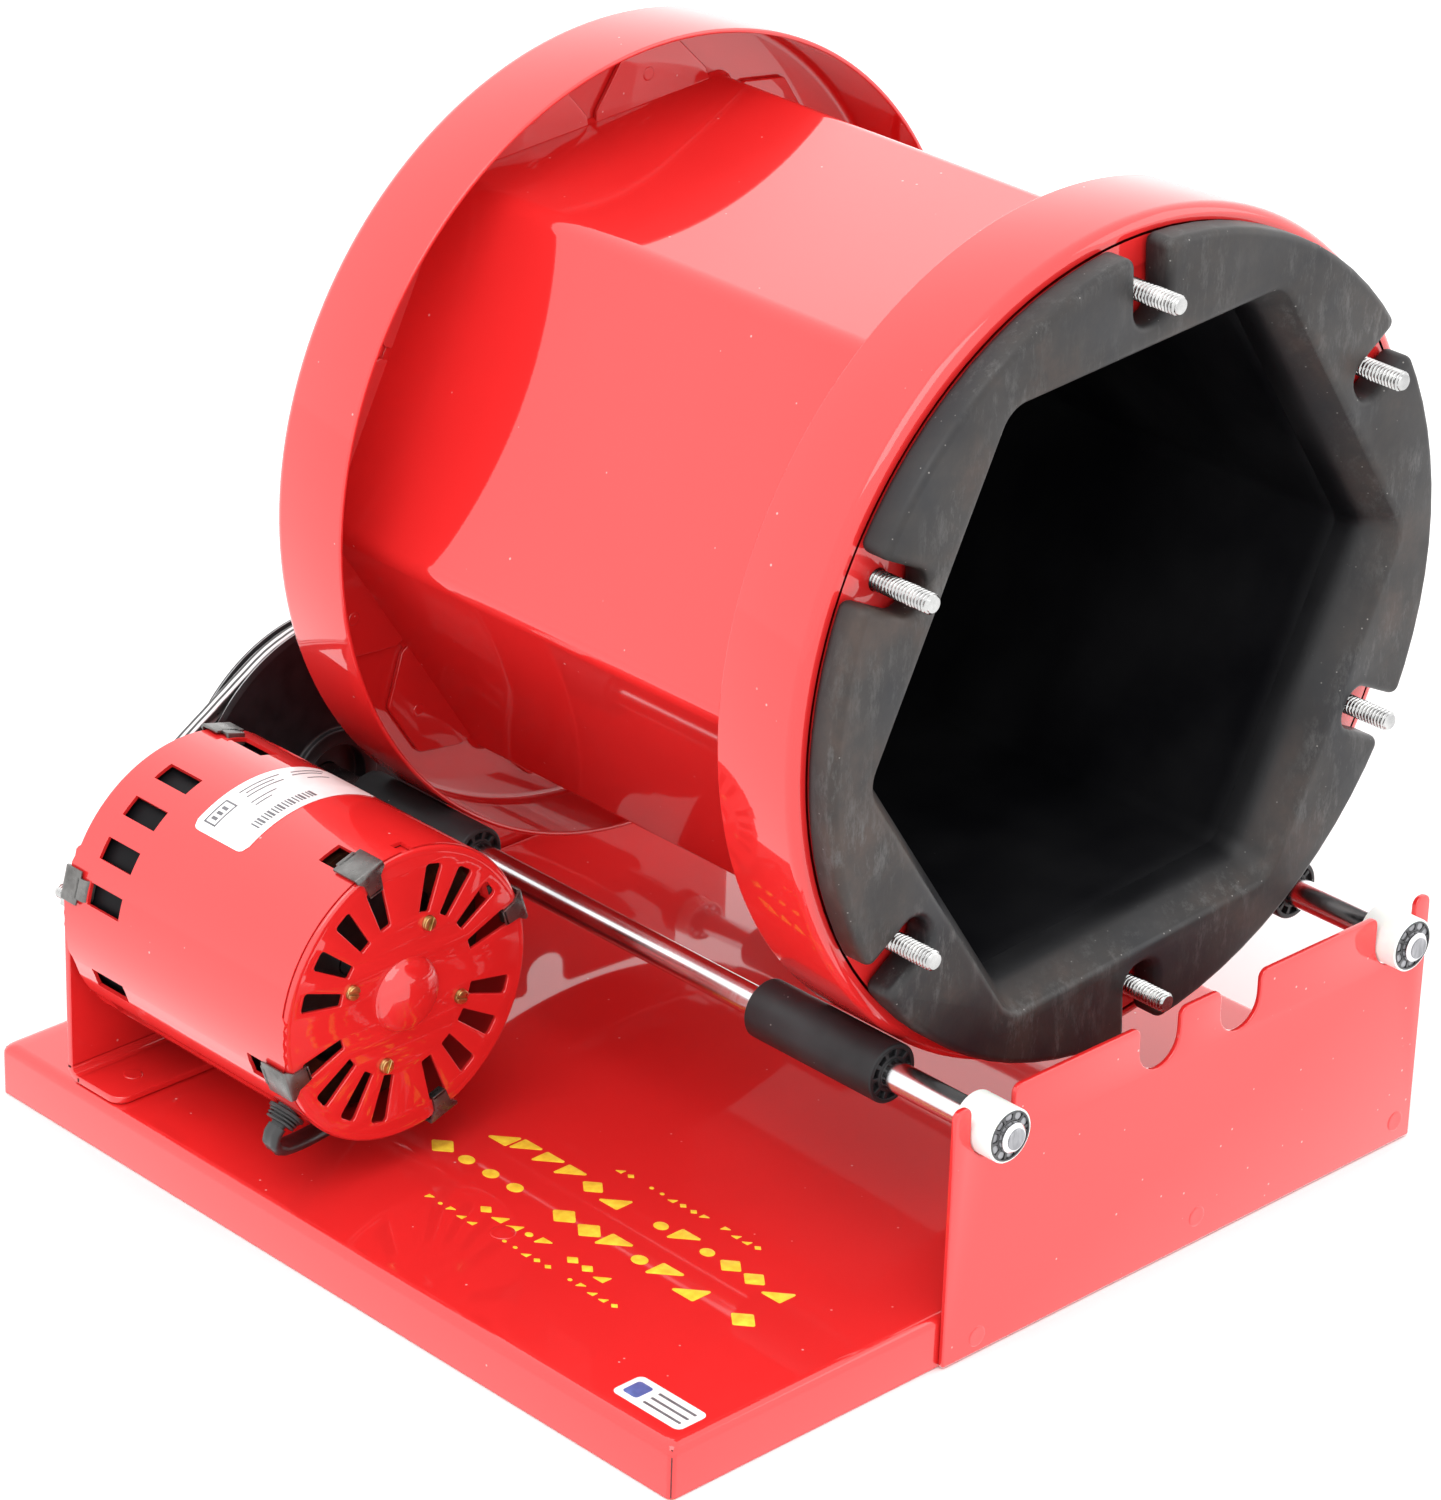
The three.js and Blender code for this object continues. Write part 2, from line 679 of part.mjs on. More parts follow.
/** A tab bent out of half of a flat's end, against the hoop's web; +X is the middle of its flat. */
function tab(side, y0, y1) {
  const inside = drum.apothem - drum.sheet;
  const outerEdge = drum.apothem + tabs.reach;
  return slab(
    outline([
      [inside, side * tabs.fromMiddle],
      [outerEdge, side * (tabs.fromMiddle + tabs.innerSlant), tabs.corner],
      [outerEdge, side * (tabs.width - tabs.outerSlant), tabs.corner],
      [inside, side * tabs.width],
    ]),
    y0, y1, 3,
  );
}

function barrelBody() {
  const end = drum.halfLength - drum.sheet - gap;
  const wall = hexagon(drum.apothem, drum.cornerRadius);
  wall.holes.push(hexagon(drum.apothem - drum.sheet, drum.cornerRadius - drum.sheet));
  const bothEnds = [[-end, drum.sheet - end], [end - drum.sheet, end]];
  const allTabs = around(6, hexAngle, (angle) => bothEnds.map(([y0, y1]) =>
    [-1, 1].map((side) => aimed(tab(side, y0, y1), angle)))).flat(3);
  const inside = hexagon(drum.apothem - drum.sheet, drum.cornerRadius - drum.sheet);
  return cut(join(slab(wall, -end, end), allTabs), slab(inside, -end - beyond, end + beyond));
}

/** A hoop: a flat web with its rim turned in as a band; the band is what rolls on the rollers. */
function hoop(innerRadius) {
  const { radius, halfLength, bandWidth, sheet } = drum;
  const bend = [0, 30, 60, 90].map(degrees);
  const outer = drum.hoopBend;
  const inner = outer - sheet;
  const arc = (r, angle) =>
    [radius - outer + r * Math.sin(angle), outer - halfLength - r * Math.cos(angle)];
  return [
    [innerRadius, -halfLength],
    ...bend.map((angle) => arc(outer, angle)),
    [radius, bandWidth - halfLength],
    [radius - sheet, bandWidth - halfLength],
    ...bend.reverse().map((angle) => arc(inner, angle)),
    [innerRadius, sheet - halfLength],
  ];
}

function frontHoop() {
  const blank = turned(hoop(0), round);
  const front = -drum.halfLength - beyond;
  const behind = drum.sheet + beyond - drum.halfLength;
  const mouth = slab(hexagon(drum.apothem - drum.sheet, drum.cornerRadius), front, behind);
  const hole = rod(stud.radius + gap, front, behind).translate(stud.circle, 0, 0);
  return cut(blank, mouth, around(6, hexAngle, (angle) => aimed(hole, angle)));
}

function lidStud() {
  const headStart = drum.sheet + gap - drum.halfLength;
  return turned([
    [0, stud.tip],
    [stud.radius - stud.chamfer, stud.tip],
    [stud.radius, stud.tip + stud.chamfer],
    [stud.radius, headStart],
    [stud.headRadius, headStart],
    [stud.headRadius, headStart + stud.headHeight],
    [0, headStart + stud.headHeight],
  ]).translate(stud.circle, 0, 0);
}

/** The rubber liner: a hexagonal cup with a thick flange that is notched round each stud. */
function rubberLiner() {
  const back = drum.halfLength - drum.sheet - gap;
  const flangeBack = -drum.halfLength - gap;
  const wall = drum.sheet + gap; // what lies between the liner and the barrel's outside
  const cup = slab(hexagon(drum.apothem - wall, drum.cornerRadius - wall), flangeBack - beyond, back);
  const flange = turned([
    [0, liner.flangeFront],
    [liner.flangeRadius - liner.flangeEdge, liner.flangeFront],
    [liner.flangeRadius, liner.flangeFront + liner.flangeEdge],
    [liner.flangeRadius, flangeBack],
    [0, flangeBack],
  ], round);
  const hollow = slab(
    hexagon(liner.apothem, liner.cornerRadius), liner.flangeFront - beyond, back - liner.floor);
  const corner = (apothem) => apothem / Math.cos(degrees(30));
  const slope = (liner.mouthApothem - liner.apothem) / liner.mouthDepth;
  const flareDepth = liner.mouthDepth + 2 * beyond;
  const flare = new THREE.CylinderGeometry(
    corner(liner.apothem - slope * beyond), corner(liner.mouthApothem + slope * beyond), flareDepth, 6)
    .rotateY(degrees(90))
    .translate(0, liner.flangeFront + liner.mouthDepth / 2, 0);
  const slot = slab(
    outline([
      [liner.slotRoot, -liner.slotWidth / 2, liner.slotCorner],
      [liner.flangeRadius + beyond, -liner.slotWidth / 2],
      [liner.flangeRadius + beyond, liner.slotWidth / 2],
      [liner.slotRoot, liner.slotWidth / 2, liner.slotCorner],
    ]),
    liner.flangeFront - beyond, flangeBack + gap / 2,
  );
  return cut(join(cup, flange), hollow, flare, around(6, hexAngle, (angle) => aimed(slot, angle)));
}

const barrel = groupAt(drum.x, drum.z, drum.turn);
piece(barrel, "barrel_body", "enamel", barrelBody());
piece(barrel, "front_hoop", "enamel", frontHoop());
piece(barrel, "rear_hoop", "enamel", turned(hoop(0), round).rotateX(Math.PI));
piece(barrel, "rubber_liner", "rubber", rubberLiner());
around(6, hexAngle, (angle, i) => piece(barrel, `lid_stud_${i + 1}`, "zinc", aimed(lidStud(), angle)));

// ---------------------------------------------------------------- power cord
// Out of the strain relief, round under the motor, past the bracket, over the back edge to the floor.
const route = [
  [5.3, 24.5, 41.2], [3.6, 24.6, 39.3], [3.1, 24.8, 36.6], [4.9, 25.3, 33.8], [8, 26.2, 32.2],
  [14.5, 28.8, 29.9], [25, 33, 27], [36.5, 37.6, 24.7], [49.5, 43.8, 22.7], [63, 53, 21.5], [76, 65, 21.2],
  [86.5, 79, 21.2], [92, 93, 21.2], [92.8, 109, 21.2], [92.6, 124, 21.2], [92, 138, 21.2], [92, 150, 21.2],
  [94, 160, 19.8], [98.5, 168, 14.5], [106, 174, 8], [117, 177.5, 4.4], [133, 178.5, 3.6],
  [153, 177.5, 3.6], [175, 176.6, 3.6], [199, 176, 3.6],
].map(([x, y, z]) => new THREE.Vector3(leftEdge + x, y, z));

function cordTube() {
  const radius = cord.diameter / 2;
  const section = new THREE.Shape(around(cord.sides, 0, (angle) =>
    new THREE.Vector2(radius * Math.cos(degrees(angle)), radius * Math.sin(degrees(angle)))));
  const extrudePath = new THREE.CatmullRomCurve3(route);
  return new THREE.ExtrudeGeometry(section, { steps: cord.steps, extrudePath });
}

function coilRing() {
  const halfWidth = (coil.columns * coil.pitch) / 2;
  const height = coil.rows * coil.pitch;
  return tube(coil.meanRadius + halfWidth, coil.meanRadius - halfWidth, 0, height, fine)
    .rotateX(Math.PI / 2)
    .translate(coil.x, coil.y, gap);
}

/** A two-blade plug on its side, with the tapered tail that the lead runs into. */
function mainsPlug() {
  const { x, y, z, tail, body, width, height, blade } = plug;
  const tailPiece = new THREE.CylinderGeometry(plug.tailThick, plug.tailThin, tail + beyond, small)
    .rotateZ(-Math.PI / 2)
    .translate(x + (tail + beyond) / 2, y, z);
  const shell = slab(
    outline([
      [x + tail, z - height / 2, plug.backCorner],
      [x + tail + body, z - height / 2, plug.frontCorner],
      [x + tail + body, z + height / 2, plug.frontCorner],
      [x + tail, z + height / 2, plug.backCorner],
    ]),
    y - width / 2, y + width / 2, 3,
  );
  const tip = x + tail + body + blade.length;
  const blades = [-1, 1].map((side) => {
    const middle = y + (side * blade.apart) / 2;
    return block(x + tail + body - beyond, tip, middle - blade.thickness / 2, middle + blade.thickness / 2,
      z - blade.width / 2, z + blade.width / 2);
  });
  return join(shell, tailPiece, blades);
}

piece(tumbler, "power_cord", "plastic", cordTube());
piece(tumbler, "cord_coil", "plastic", coilRing());
piece(tumbler, "mains_plug", "plastic", mainsPlug());

export default tumbler;
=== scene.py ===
"""Looks of the rotary rock tumbler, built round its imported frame. Lengths here are millimetres."""

import math

import bmesh
import bpy
from mathutils import Matrix, Vector


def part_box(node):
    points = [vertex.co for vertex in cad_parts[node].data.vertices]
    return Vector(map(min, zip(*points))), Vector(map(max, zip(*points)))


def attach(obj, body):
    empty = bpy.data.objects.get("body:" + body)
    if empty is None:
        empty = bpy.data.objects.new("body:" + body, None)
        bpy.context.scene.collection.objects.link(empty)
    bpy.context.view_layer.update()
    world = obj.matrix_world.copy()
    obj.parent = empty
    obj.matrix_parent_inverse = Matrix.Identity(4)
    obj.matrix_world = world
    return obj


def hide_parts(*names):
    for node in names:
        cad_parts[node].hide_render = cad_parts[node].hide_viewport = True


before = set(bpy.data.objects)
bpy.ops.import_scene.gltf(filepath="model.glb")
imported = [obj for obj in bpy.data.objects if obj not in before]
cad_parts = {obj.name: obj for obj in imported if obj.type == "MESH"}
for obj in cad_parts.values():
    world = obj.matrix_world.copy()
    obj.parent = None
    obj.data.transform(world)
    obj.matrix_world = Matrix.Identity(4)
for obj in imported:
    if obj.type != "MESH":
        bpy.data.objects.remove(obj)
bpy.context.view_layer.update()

MM = 0.001


def middle(node):
    low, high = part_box(node)
    return [(a + b) / 2 / MM for a, b in zip(low, high)]


(LEFT, FRONT, _), (RIGHT, REAR, PAN_TOP) = ([c / MM for c in corner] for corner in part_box("base_pan"))
DRUM_X, _, DRUM_Z = middle("rear_hoop")
DRIVE_X, _, SHAFT_Z = middle("drive_shaft")
IDLER_X = middle("idler_shaft")[0]
MOTOR_X, _, MOTOR_Z = middle("motor_shell")
BARREL_AT, DRIVE_AT, MOTOR_AT = (DRUM_X, DRUM_Z), (DRIVE_X, SHAFT_Z), (MOTOR_X, MOTOR_Z)

# ------------------------------------------------------------------ camera
EYE = Vector((-1104.4, -1115.8, 892.8)) * MM
AZIMUTH, ELEVATION, ROLL = -44.537, 26.479, -1.905  # degrees
FOCAL_WIDTHS = 3.962491325  # focal length over the picture's width
CENTRE_SHIFT = (-0.004296, 0.023664)  # of the lens's axis, in picture widths
SENSOR_WIDTH = 36


def make_camera():
    azimuth, elevation, roll = (math.radians(a) for a in (AZIMUTH, ELEVATION, ROLL))
    ahead = Vector((
        -math.sin(azimuth) * math.cos(elevation),
        math.cos(azimuth) * math.cos(elevation),
        -math.sin(elevation),
    ))
    right = ahead.cross(Vector((0, 0, 1))).normalized()
    up = right.cross(ahead)
    turned_right = right * math.cos(roll) - up * math.sin(roll)
    turned_up = right * math.sin(roll) + up * math.cos(roll)
    data = bpy.data.cameras.new("camera")
    data.sensor_fit = "HORIZONTAL"
    data.sensor_width = SENSOR_WIDTH
    data.lens = FOCAL_WIDTHS * SENSOR_WIDTH
    data.shift_x, data.shift_y = CENTRE_SHIFT
    data.clip_start, data.clip_end = 0.05, 50
    camera = bpy.data.objects.new("camera", data)
    columns = Matrix((turned_right, turned_up, -ahead)).transposed()
    camera.matrix_world = Matrix.Translation(EYE) @ columns.to_4x4()
    bpy.context.scene.collection.objects.link(camera)
    bpy.context.scene.camera = camera


make_camera()


# ------------------------------------------------------------------ shader nodes
def feed(node, **inputs):
    """Sets a node's inputs and properties; one given as another node's output is linked."""
    for key, value in inputs.items():
        name = key.replace("_", " ")
        if isinstance(value, bpy.types.NodeSocket):
            node.id_data.links.new(value, node.inputs[name])
        elif name in node.inputs:
            node.inputs[name].default_value = value
        else:
            setattr(node, key, value)
    return node


def place(tree, kind, **inputs):
    return feed(tree.nodes.new(kind), **inputs)


def shader(name, color, roughness, **inputs):
    """A new material, its node tree and its Principled shader."""
    material = bpy.data.materials.new(name)
    material.use_nodes = True
    tree = material.node_tree
    principled = tree.nodes["Principled BSDF"]
    return material, tree, feed(principled, Base_Color=(*color, 1), Roughness=roughness, **inputs)


def coordinates(tree, stretch=(1, 1, 1)):
    """Object coordinates in metres, stretched for grain that runs one way."""
    source = place(tree, "ShaderNodeTexCoord").outputs["Object"]
    return place(tree, "ShaderNodeMapping", Vector=source, Scale=stretch).outputs["Vector"]


def noise(tree, scale, detail=3, stretch=(1, 1, 1), roughness=0.5):
    return place(tree, "ShaderNodeTexNoise", Vector=coordinates(tree, stretch),
                 Scale=scale, Detail=detail, Roughness=roughness).outputs["Fac"]


def bands(tree, scale, distortion):
    """Light and dark bands across the Y axis."""
    return place(tree, "ShaderNodeTexWave", Vector=coordinates(tree), bands_direction="Y",
                 Scale=scale, Distortion=distortion).outputs["Fac"]


def ramp(tree, value, *stops):
    """A colour ramp through stops of (position, colour or grey)."""
    node = place(tree, "ShaderNodeValToRGB", Fac=value)
    elements = node.color_ramp.elements
    while len(elements) < len(stops):
        elements.new(0.5)
    for element, (position, color) in zip(elements, stops):
        element.position = position
        grey = isinstance(color, (int, float))
        element.color = (color, color, color, 1) if grey else (*color, 1)
    return node.outputs["Color"]


def product(tree, first, second):
    node = place(tree, "ShaderNodeMath", operation="MULTIPLY")
    tree.links.new(first, node.inputs[0])
    tree.links.new(second, node.inputs[1])
    return node.outputs[0]


def blended(tree, factor, first, color):
    """From the first colour to a plain one."""
    node = place(tree, "ShaderNodeMix", data_type="RGBA")
    tree.links.new(factor, node.inputs[0])
    tree.links.new(first, node.inputs[6])
    node.inputs[7].default_value = (*color, 1)
    return node.outputs[2]


def specks(tree, scale, size, share):
    """1 in small dots and 0 between them; only a share of the cells, picked at random, holds one."""
    cells = place(tree, "ShaderNodeTexVoronoi", Vector=coordinates(tree), Scale=scale, Randomness=1)
    dots = ramp(tree, cells.outputs["Distance"], (size * 0.6, 1), (size, 0))
    picked = ramp(tree, cells.outputs["Color"], (1 - share - 0.01, 0), (1 - share, 1))
    return product(tree, dots, picked)


def pattern(tree, settings):
    """Noise from its settings, or another pattern when a function stands before them."""
    kind, *rest = settings if callable(settings[0]) else (noise, *settings)
    return kind(tree, *rest)


def relief(tree, principled, bumps):
    """Stacks bumps of (pattern, strength, height in millimetres) on the shader's normal."""
    below = {}
    for settings, strength, height in bumps:
        node = place(tree, "ShaderNodeBump", Height=pattern(tree, settings), Strength=strength,
                     Distance=height * MM, **below)
        below = {"Normal": node.outputs["Normal"]}
    feed(principled, **below)


LOW, HIGH = 0.3, 0.7  # where a pattern's dark and light parts begin, unless a material says otherwise


def worn(name, color, roughness, tone, dull=None, bumps=(), dust=None, **inputs):
    """A material whose colour, roughness and relief follow patterns.

    tone is a pattern, its dark and its light colour and, where they differ, LOW and HIGH. dull is
    a pattern and its two roughnesses. dust is the settings of its specks, then their colour.
    """
    material, tree, principled = shader(name, color, roughness, **inputs)
    settings, dark, light, *starts = tone
    low, high = starts or (LOW, HIGH)
    shade = ramp(tree, pattern(tree, settings), (low, dark), (high, light))
    if dust:
        shade = blended(tree, specks(tree, *dust[:3]), shade, dust[3])
    feed(principled, Base_Color=shade)
    if dull:
        settings, first, last = dull
        feed(principled, Roughness=ramp(tree, pattern(tree, settings), (LOW, first), (HIGH, last)))
    relief(tree, principled, bumps)
    return material


# ------------------------------------------------------------------ materials
# Glossy red stoved enamel: a little orange peel, faint tone changes and a few dust specks.
RED = worn(
    "red_enamel", (0.66, 0.018, 0.018), 0.4, ((9, 4), (0.55, 0.014, 0.014), (0.78, 0.024, 0.024), 0, 1),
    bumps=[((330, 3), 0.05, 0.2), ((24, 2), 0.03, 0.4)], dust=(200, 0.09, 0.22, (0.76, 0.30, 0.29)),
    Coat_Weight=1.0, Coat_Roughness=0.035, Coat_IOR=1.62, Specular_IOR_Level=0.06)

# The same rubber as the liner's mouth, cleaner and duller, its colour darkened to near black as painted
# shade: the cup inside the barrel and the ring behind the motor's windows.
SHADE_BLACK = worn(
    "shade_black_rubber", (0.005, 0.005, 0.006), 0.55,
    ((26, 5), (0.003, 0.003, 0.004), (0.009, 0.009, 0.010), 0.35, 0.75), ((24, 5), 0.42, 0.66),
    [((500, 3), 0.2, 0.1), ((40, 3), 0.15, 0.4)], (260, 0.10, 0.04, (0.12, 0.12, 0.12)),
    Specular_IOR_Level=0.11)

# Black rubber tube, ground on the outside, with a dusting of pale specks.
ROLLER = worn(
    "roller_rubber", (0.016, 0.016, 0.017), 0.5,
    ((40, 5), (0.008, 0.008, 0.009), (0.022, 0.022, 0.024), 0.35, 0.7), ((60, 4), 0.42, 0.66),
    [((500, 2, (1, 6, 1)), 0.2, 0.08)], (600, 0.15, 0.10, (0.30, 0.29, 0.28)), Specular_IOR_Level=0.36)

# Black moulded belt with fine lines along its length painted pale grey as painted highlights of its gloss.
GLINT_LINES = (bands, 150, 0.6)
BELT = worn("belt_rubber", (0.02, 0.02, 0.021), 0.42, (GLINT_LINES, 0.03, (0.72, 0.72, 0.73), 0.3, 0.6),
            ((90, 4), 0.22, 0.4), [(GLINT_LINES, 0.4, 0.12)])

# Ground and polished bar: fine marks round it and a faint smear of oil.
TURNED = (90, 5, (1, 26, 1), 0.7)
STEEL = worn("bright_steel", (0.62, 0.62, 0.63), 0.2, ((28, 4), (0.50, 0.50, 0.51), (0.70, 0.70, 0.71)),
             (TURNED, 0.13, 0.27), [(TURNED, 0.12, 0.03)], Metallic=1.0)

# The cut end of a bar: matt, with saw marks across it.
SAW_MARKS = (420, 4, (1, 1, 0.25), 0.7)
SAWN = worn("sawn_steel", (0.60, 0.61, 0.62), 0.45, (SAW_MARKS, (0.20, 0.20, 0.21), (0.42, 0.42, 0.44)),
            (SAW_MARKS, 0.34, 0.55), [(SAW_MARKS, 0.5, 0.06)], Metallic=0.9)

# Bright zinc plate, slightly mottled.
ZINC = worn("zinc_plate", (0.68, 0.68, 0.66), 0.3, ((150, 5), 0.34, (0.56, 0.56, 0.55)),
            ((300, 3), 0.16, 0.3), [((150, 5), 0.15, 0.04)], Metallic=1.0)

# Grey tempered strip with a dull oxide skin and worn edges.
OXIDE = (120, 6, (1, 1, 1), 0.65)
SPRING = worn("spring_steel", (0.16, 0.155, 0.15), 0.38,
              (OXIDE, (0.08, 0.077, 0.074), (0.20, 0.196, 0.19), 0.32, 0.72),
              ((260, 4), 0.2, 0.4), [(OXIDE, 0.2, 0.05)], Metallic=0.85)

# Dark oiled bearing steel.
CAGE = worn("cage_steel", (0.075, 0.075, 0.078), 0.36, ((220, 4), (0.05, 0.05, 0.052), (0.10, 0.10, 0.105)),
            ((140, 3), 0.26, 0.46), [((220, 4), 0.15, 0.04)], Metallic=0.5)

# A pulley's satin black paint over a cast skin.
IRON = worn("black_iron", (0.008, 0.008, 0.009), 0.34,
            ((160, 5), (0.006, 0.006, 0.007), (0.017, 0.016, 0.018), 0.3, 0.75),
            ((50, 4), 0.28, 0.45), [((160, 5), 0.2, 0.08)],
            Coat_Weight=0.1, Coat_Roughness=0.2, Specular_IOR_Level=0.25)

# Where a belt and grit have polished the black away.
POLISHED = (60, 5, (1, 30, 1), 0.7)
RUBBED = worn("rubbed_iron", (0.30, 0.30, 0.31), 0.25, (POLISHED, (0.16, 0.16, 0.165), (0.46, 0.46, 0.47)),
              (POLISHED, 0.2, 0.36), [(POLISHED, 0.2, 0.04)], Metallic=0.9)

# Cream plastic, faintly cloudy, with light marks from the assembly.
NYLON = worn("cream_nylon", (0.80, 0.78, 0.70), 0.38, ((60, 4), (0.84, 0.83, 0.79), (0.91, 0.90, 0.87)),
             ((120, 4), 0.3, 0.48), [((260, 3, (1, 4, 1)), 0.12, 0.05)],
             Subsurface_Weight=0.15, Subsurface_Scale=0.002)

STAIN = (300, 5)
BRASS = worn("worn_brass", (0.55, 0.38, 0.14), 0.3,
             (STAIN, (0.30, 0.18, 0.06), (0.66, 0.48, 0.20), 0.3, 0.65),
             (STAIN, 0.45, 0.24), [(STAIN, 0.2, 0.04)], Metallic=1.0)

# Moulded black plastic with a fine grain.
PLASTIC = worn("black_plastic", (0.014, 0.014, 0.015), 0.42,
               ((80, 4), (0.010, 0.010, 0.011), (0.024, 0.024, 0.025)),
               ((200, 3), 0.34, 0.52), [((900, 2), 0.2, 0.05)])

# Flexible black vinyl, a little shinier than the mouldings.
VINYL = worn("cord_vinyl", (0.012, 0.012, 0.013), 0.36,
             ((55, 4), (0.009, 0.009, 0.010), (0.022, 0.022, 0.023)),
             ((150, 3), 0.28, 0.45), [((400, 2), 0.15, 0.05)])

# A stack of stamped sheets, seen edge on as fine rings.
SHEETS = (bands, 320, 0.3)
STACK = worn("lamination", (0.10, 0.10, 0.105), 0.5,
             (SHEETS, (0.03, 0.03, 0.032), (0.13, 0.13, 0.135), 0.2, 0.8),
             ((60, 3), 0.4, 0.6), [(SHEETS, 0.5, 0.1)], Metallic=0.7)

# Varnished wire, wound round in fine strands.
STRANDS = (130, 6, (1, 4, 1), 0.75)
COPPER = worn("copper_wire", (0.16, 0.05, 0.02), 0.4, (STRANDS, (0.02, 0.008, 0.005), (0.10, 0.035, 0.015)),
              (STRANDS, 0.5, 0.3), [(STRANDS, 0.6, 0.3)], Metallic=0.6)

# White glossy label stock with a soft mottle.
PAPER = worn("label_paper", (0.84, 0.84, 0.83), 0.35, ((120, 4), (0.80, 0.80, 0.79), 0.88),
             ((120, 4), 0.3, 0.42), [((500, 2), 0.06, 0.03)], Coat_Weight=0.4, Coat_Roughness=0.1)

# Painted shade: the dark line where two folded edges meet, with paint that has run into it.
RUNS = (240, 4)
SHADOW = worn("seam_shadow", (0.06, 0.004, 0.005), 0.5,
              (RUNS, (0.035, 0.003, 0.004), (0.16, 0.006, 0.008), 0.4, 0.7),
              (RUNS, 0.35, 0.6), [(RUNS, 0.3, 0.1)])


def ink(name, color):
    """Printed ink, thin enough that its tone wavers."""
    faded = tuple(min(1, c * 1.5 + 0.02) for c in color)
    return worn(name, color, 0.4, ((350, 4), color, faded, 0.35, 0.8), ((150, 2), 0.32, 0.5),
                [((600, 2), 0.1, 0.02)])


GREY_INK = ink("grey_ink", (0.10, 0.10, 0.11))
BLUE_INK = ink("blue_ink", (0.06, 0.09, 0.28))
YELLOW_INK = ink("yellow_ink", (0.80, 0.52, 0.03))

FLARE_TOP, FLARE_FULL_SHADE = -122.0, -114.0  # Y between which painted shade turns the liner's mouth black


def liner_rubber():
    """Dull black moulded rubber: grey bloom, brownish stains, pale scuffs, a little dust, and painted shade
    darkening the mouth inwards.
    """
    material, tree, principled = shader("liner_rubber", (0.020, 0.020, 0.021), 0.5, Specular_IOR_Level=0.38)
    shade = ramp(tree, noise(tree, 16, 6, roughness=0.65), (0.40, (0.012, 0.012, 0.014)),
                 (0.52, (0.023, 0.020, 0.019)), (0.64, (0.050, 0.034, 0.028)), (0.80, (0.040, 0.040, 0.043)))
    rubbed = ramp(tree, noise(tree, 26, 4), (0.42, 0), (0.66, 1))
    streaks = ramp(tree, noise(tree, 210, 6, (1, 1, 0.3), 0.8), (0.50, 0), (0.68, 1))
    shade = blended(tree, product(tree, streaks, rubbed), shade, (0.095, 0.092, 0.09))
    shade = blended(tree, specks(tree, 420, 0.13, 0.30), shade, (0.20, 0.19, 0.18))
    # Painted shade: from the flange's face inwards the mouth's colour fades to near black.
    split = place(tree, "ShaderNodeSeparateXYZ", Vector=coordinates(tree))
    depth = place(tree, "ShaderNodeMapRange", Value=split.outputs["Y"],
                  From_Min=FLARE_TOP * MM, From_Max=FLARE_FULL_SHADE * MM)
    shade = blended(tree, depth.outputs["Result"], shade, (0.004, 0.004, 0.005))
    feed(principled, Base_Color=shade, Roughness=ramp(tree, noise(tree, 30, 5), (LOW, 0.36), (HIGH, 0.62)))
    relief(tree, principled, [((700, 3), 0.25, 0.12), ((45, 3), 0.2, 0.4)])
    return material


LINER = liner_rubber()


# ------------------------------------------------------------------ shapes
# A shape is a pair of lists: points in millimetres, and faces as tuples of their numbers.
def polar(radius, degrees, x=0, y=0):
    angle = math.radians(degrees)
    return x + radius * math.cos(angle), y + radius * math.sin(angle)


def merged(*shapes):
    points, faces = [], []
    for shape_points, shape_faces in shapes:
        start = len(points)
        points += shape_points
        faces += [tuple(start + i for i in face) for face in shape_faces]
    return points, faces


def mapped(shape, change):
    return [change(*point) for point in shape[0]], shape[1]


def moved(shape, x=0, y=0, z=0):
    return mapped(shape, lambda a, b, c: (a + x, b + y, c + z))


def mirrored(shape):
    """Front and back changed over."""
    return mapped(shape, lambda x, y, z: (x, -y, z))


def laid(shape):
    """What faced the front faces up."""
    return mapped(shape, lambda x, y, z: (x, z, -y))


def flipped(shape, y=0):
    """Swung round end for end about this height on the Y axis."""
    return mapped(shape, lambda a, b, c: (a, 2 * y - b, -c))


def turned(line, degrees, x=0, y=0):
    """Flat points (u, v) or (u, v, radius) turned about (0, 0), then moved."""
    cos, sin = polar(1, degrees)
    return [(x + u * cos - v * sin, y + u * sin + v * cos, *rest) for u, v, *rest in line]


def swung(shape, degrees):
    """Turned about the Y axis, so that +X goes towards +Z."""
    cos, sin = polar(1, degrees)
    return mapped(shape, lambda x, y, z: (x * cos - z * sin, y, x * sin + z * cos))


def ringed(shape, count, first=0):
    return merged(*[swung(shape, first + 360 * k / count) for k in range(count)])


def filleted(corners, closed=True, steps=5):
    """Points of a line through corners (u, v) or (u, v, radius), rounded where a radius is given."""
    line = []
    count = len(corners)
    for i, corner in enumerate(corners):
        here = Vector(corner[:2])
        radius = corner[2] if len(corner) > 2 else 0
        if radius <= 0 or (not closed and i in (0, count - 1)):
            line.append(tuple(here))
            continue
        back = (Vector(corners[i - 1][:2]) - here).normalized()
        on = (Vector(corners[(i + 1) % count][:2]) - here).normalized()
        half = math.acos(max(-1, min(1, back.dot(on)))) / 2
        centre = here + (back + on).normalized() * (radius / math.sin(half))
        reach = radius / math.tan(half)
        a, b = here + back * reach - centre, here + on * reach - centre
        sweep = a.angle_signed(b)
        for k in range(steps + 1):
            turn = Matrix.Rotation(-sweep * k / steps, 2)
            line.append(tuple(centre + turn @ a))
    return line


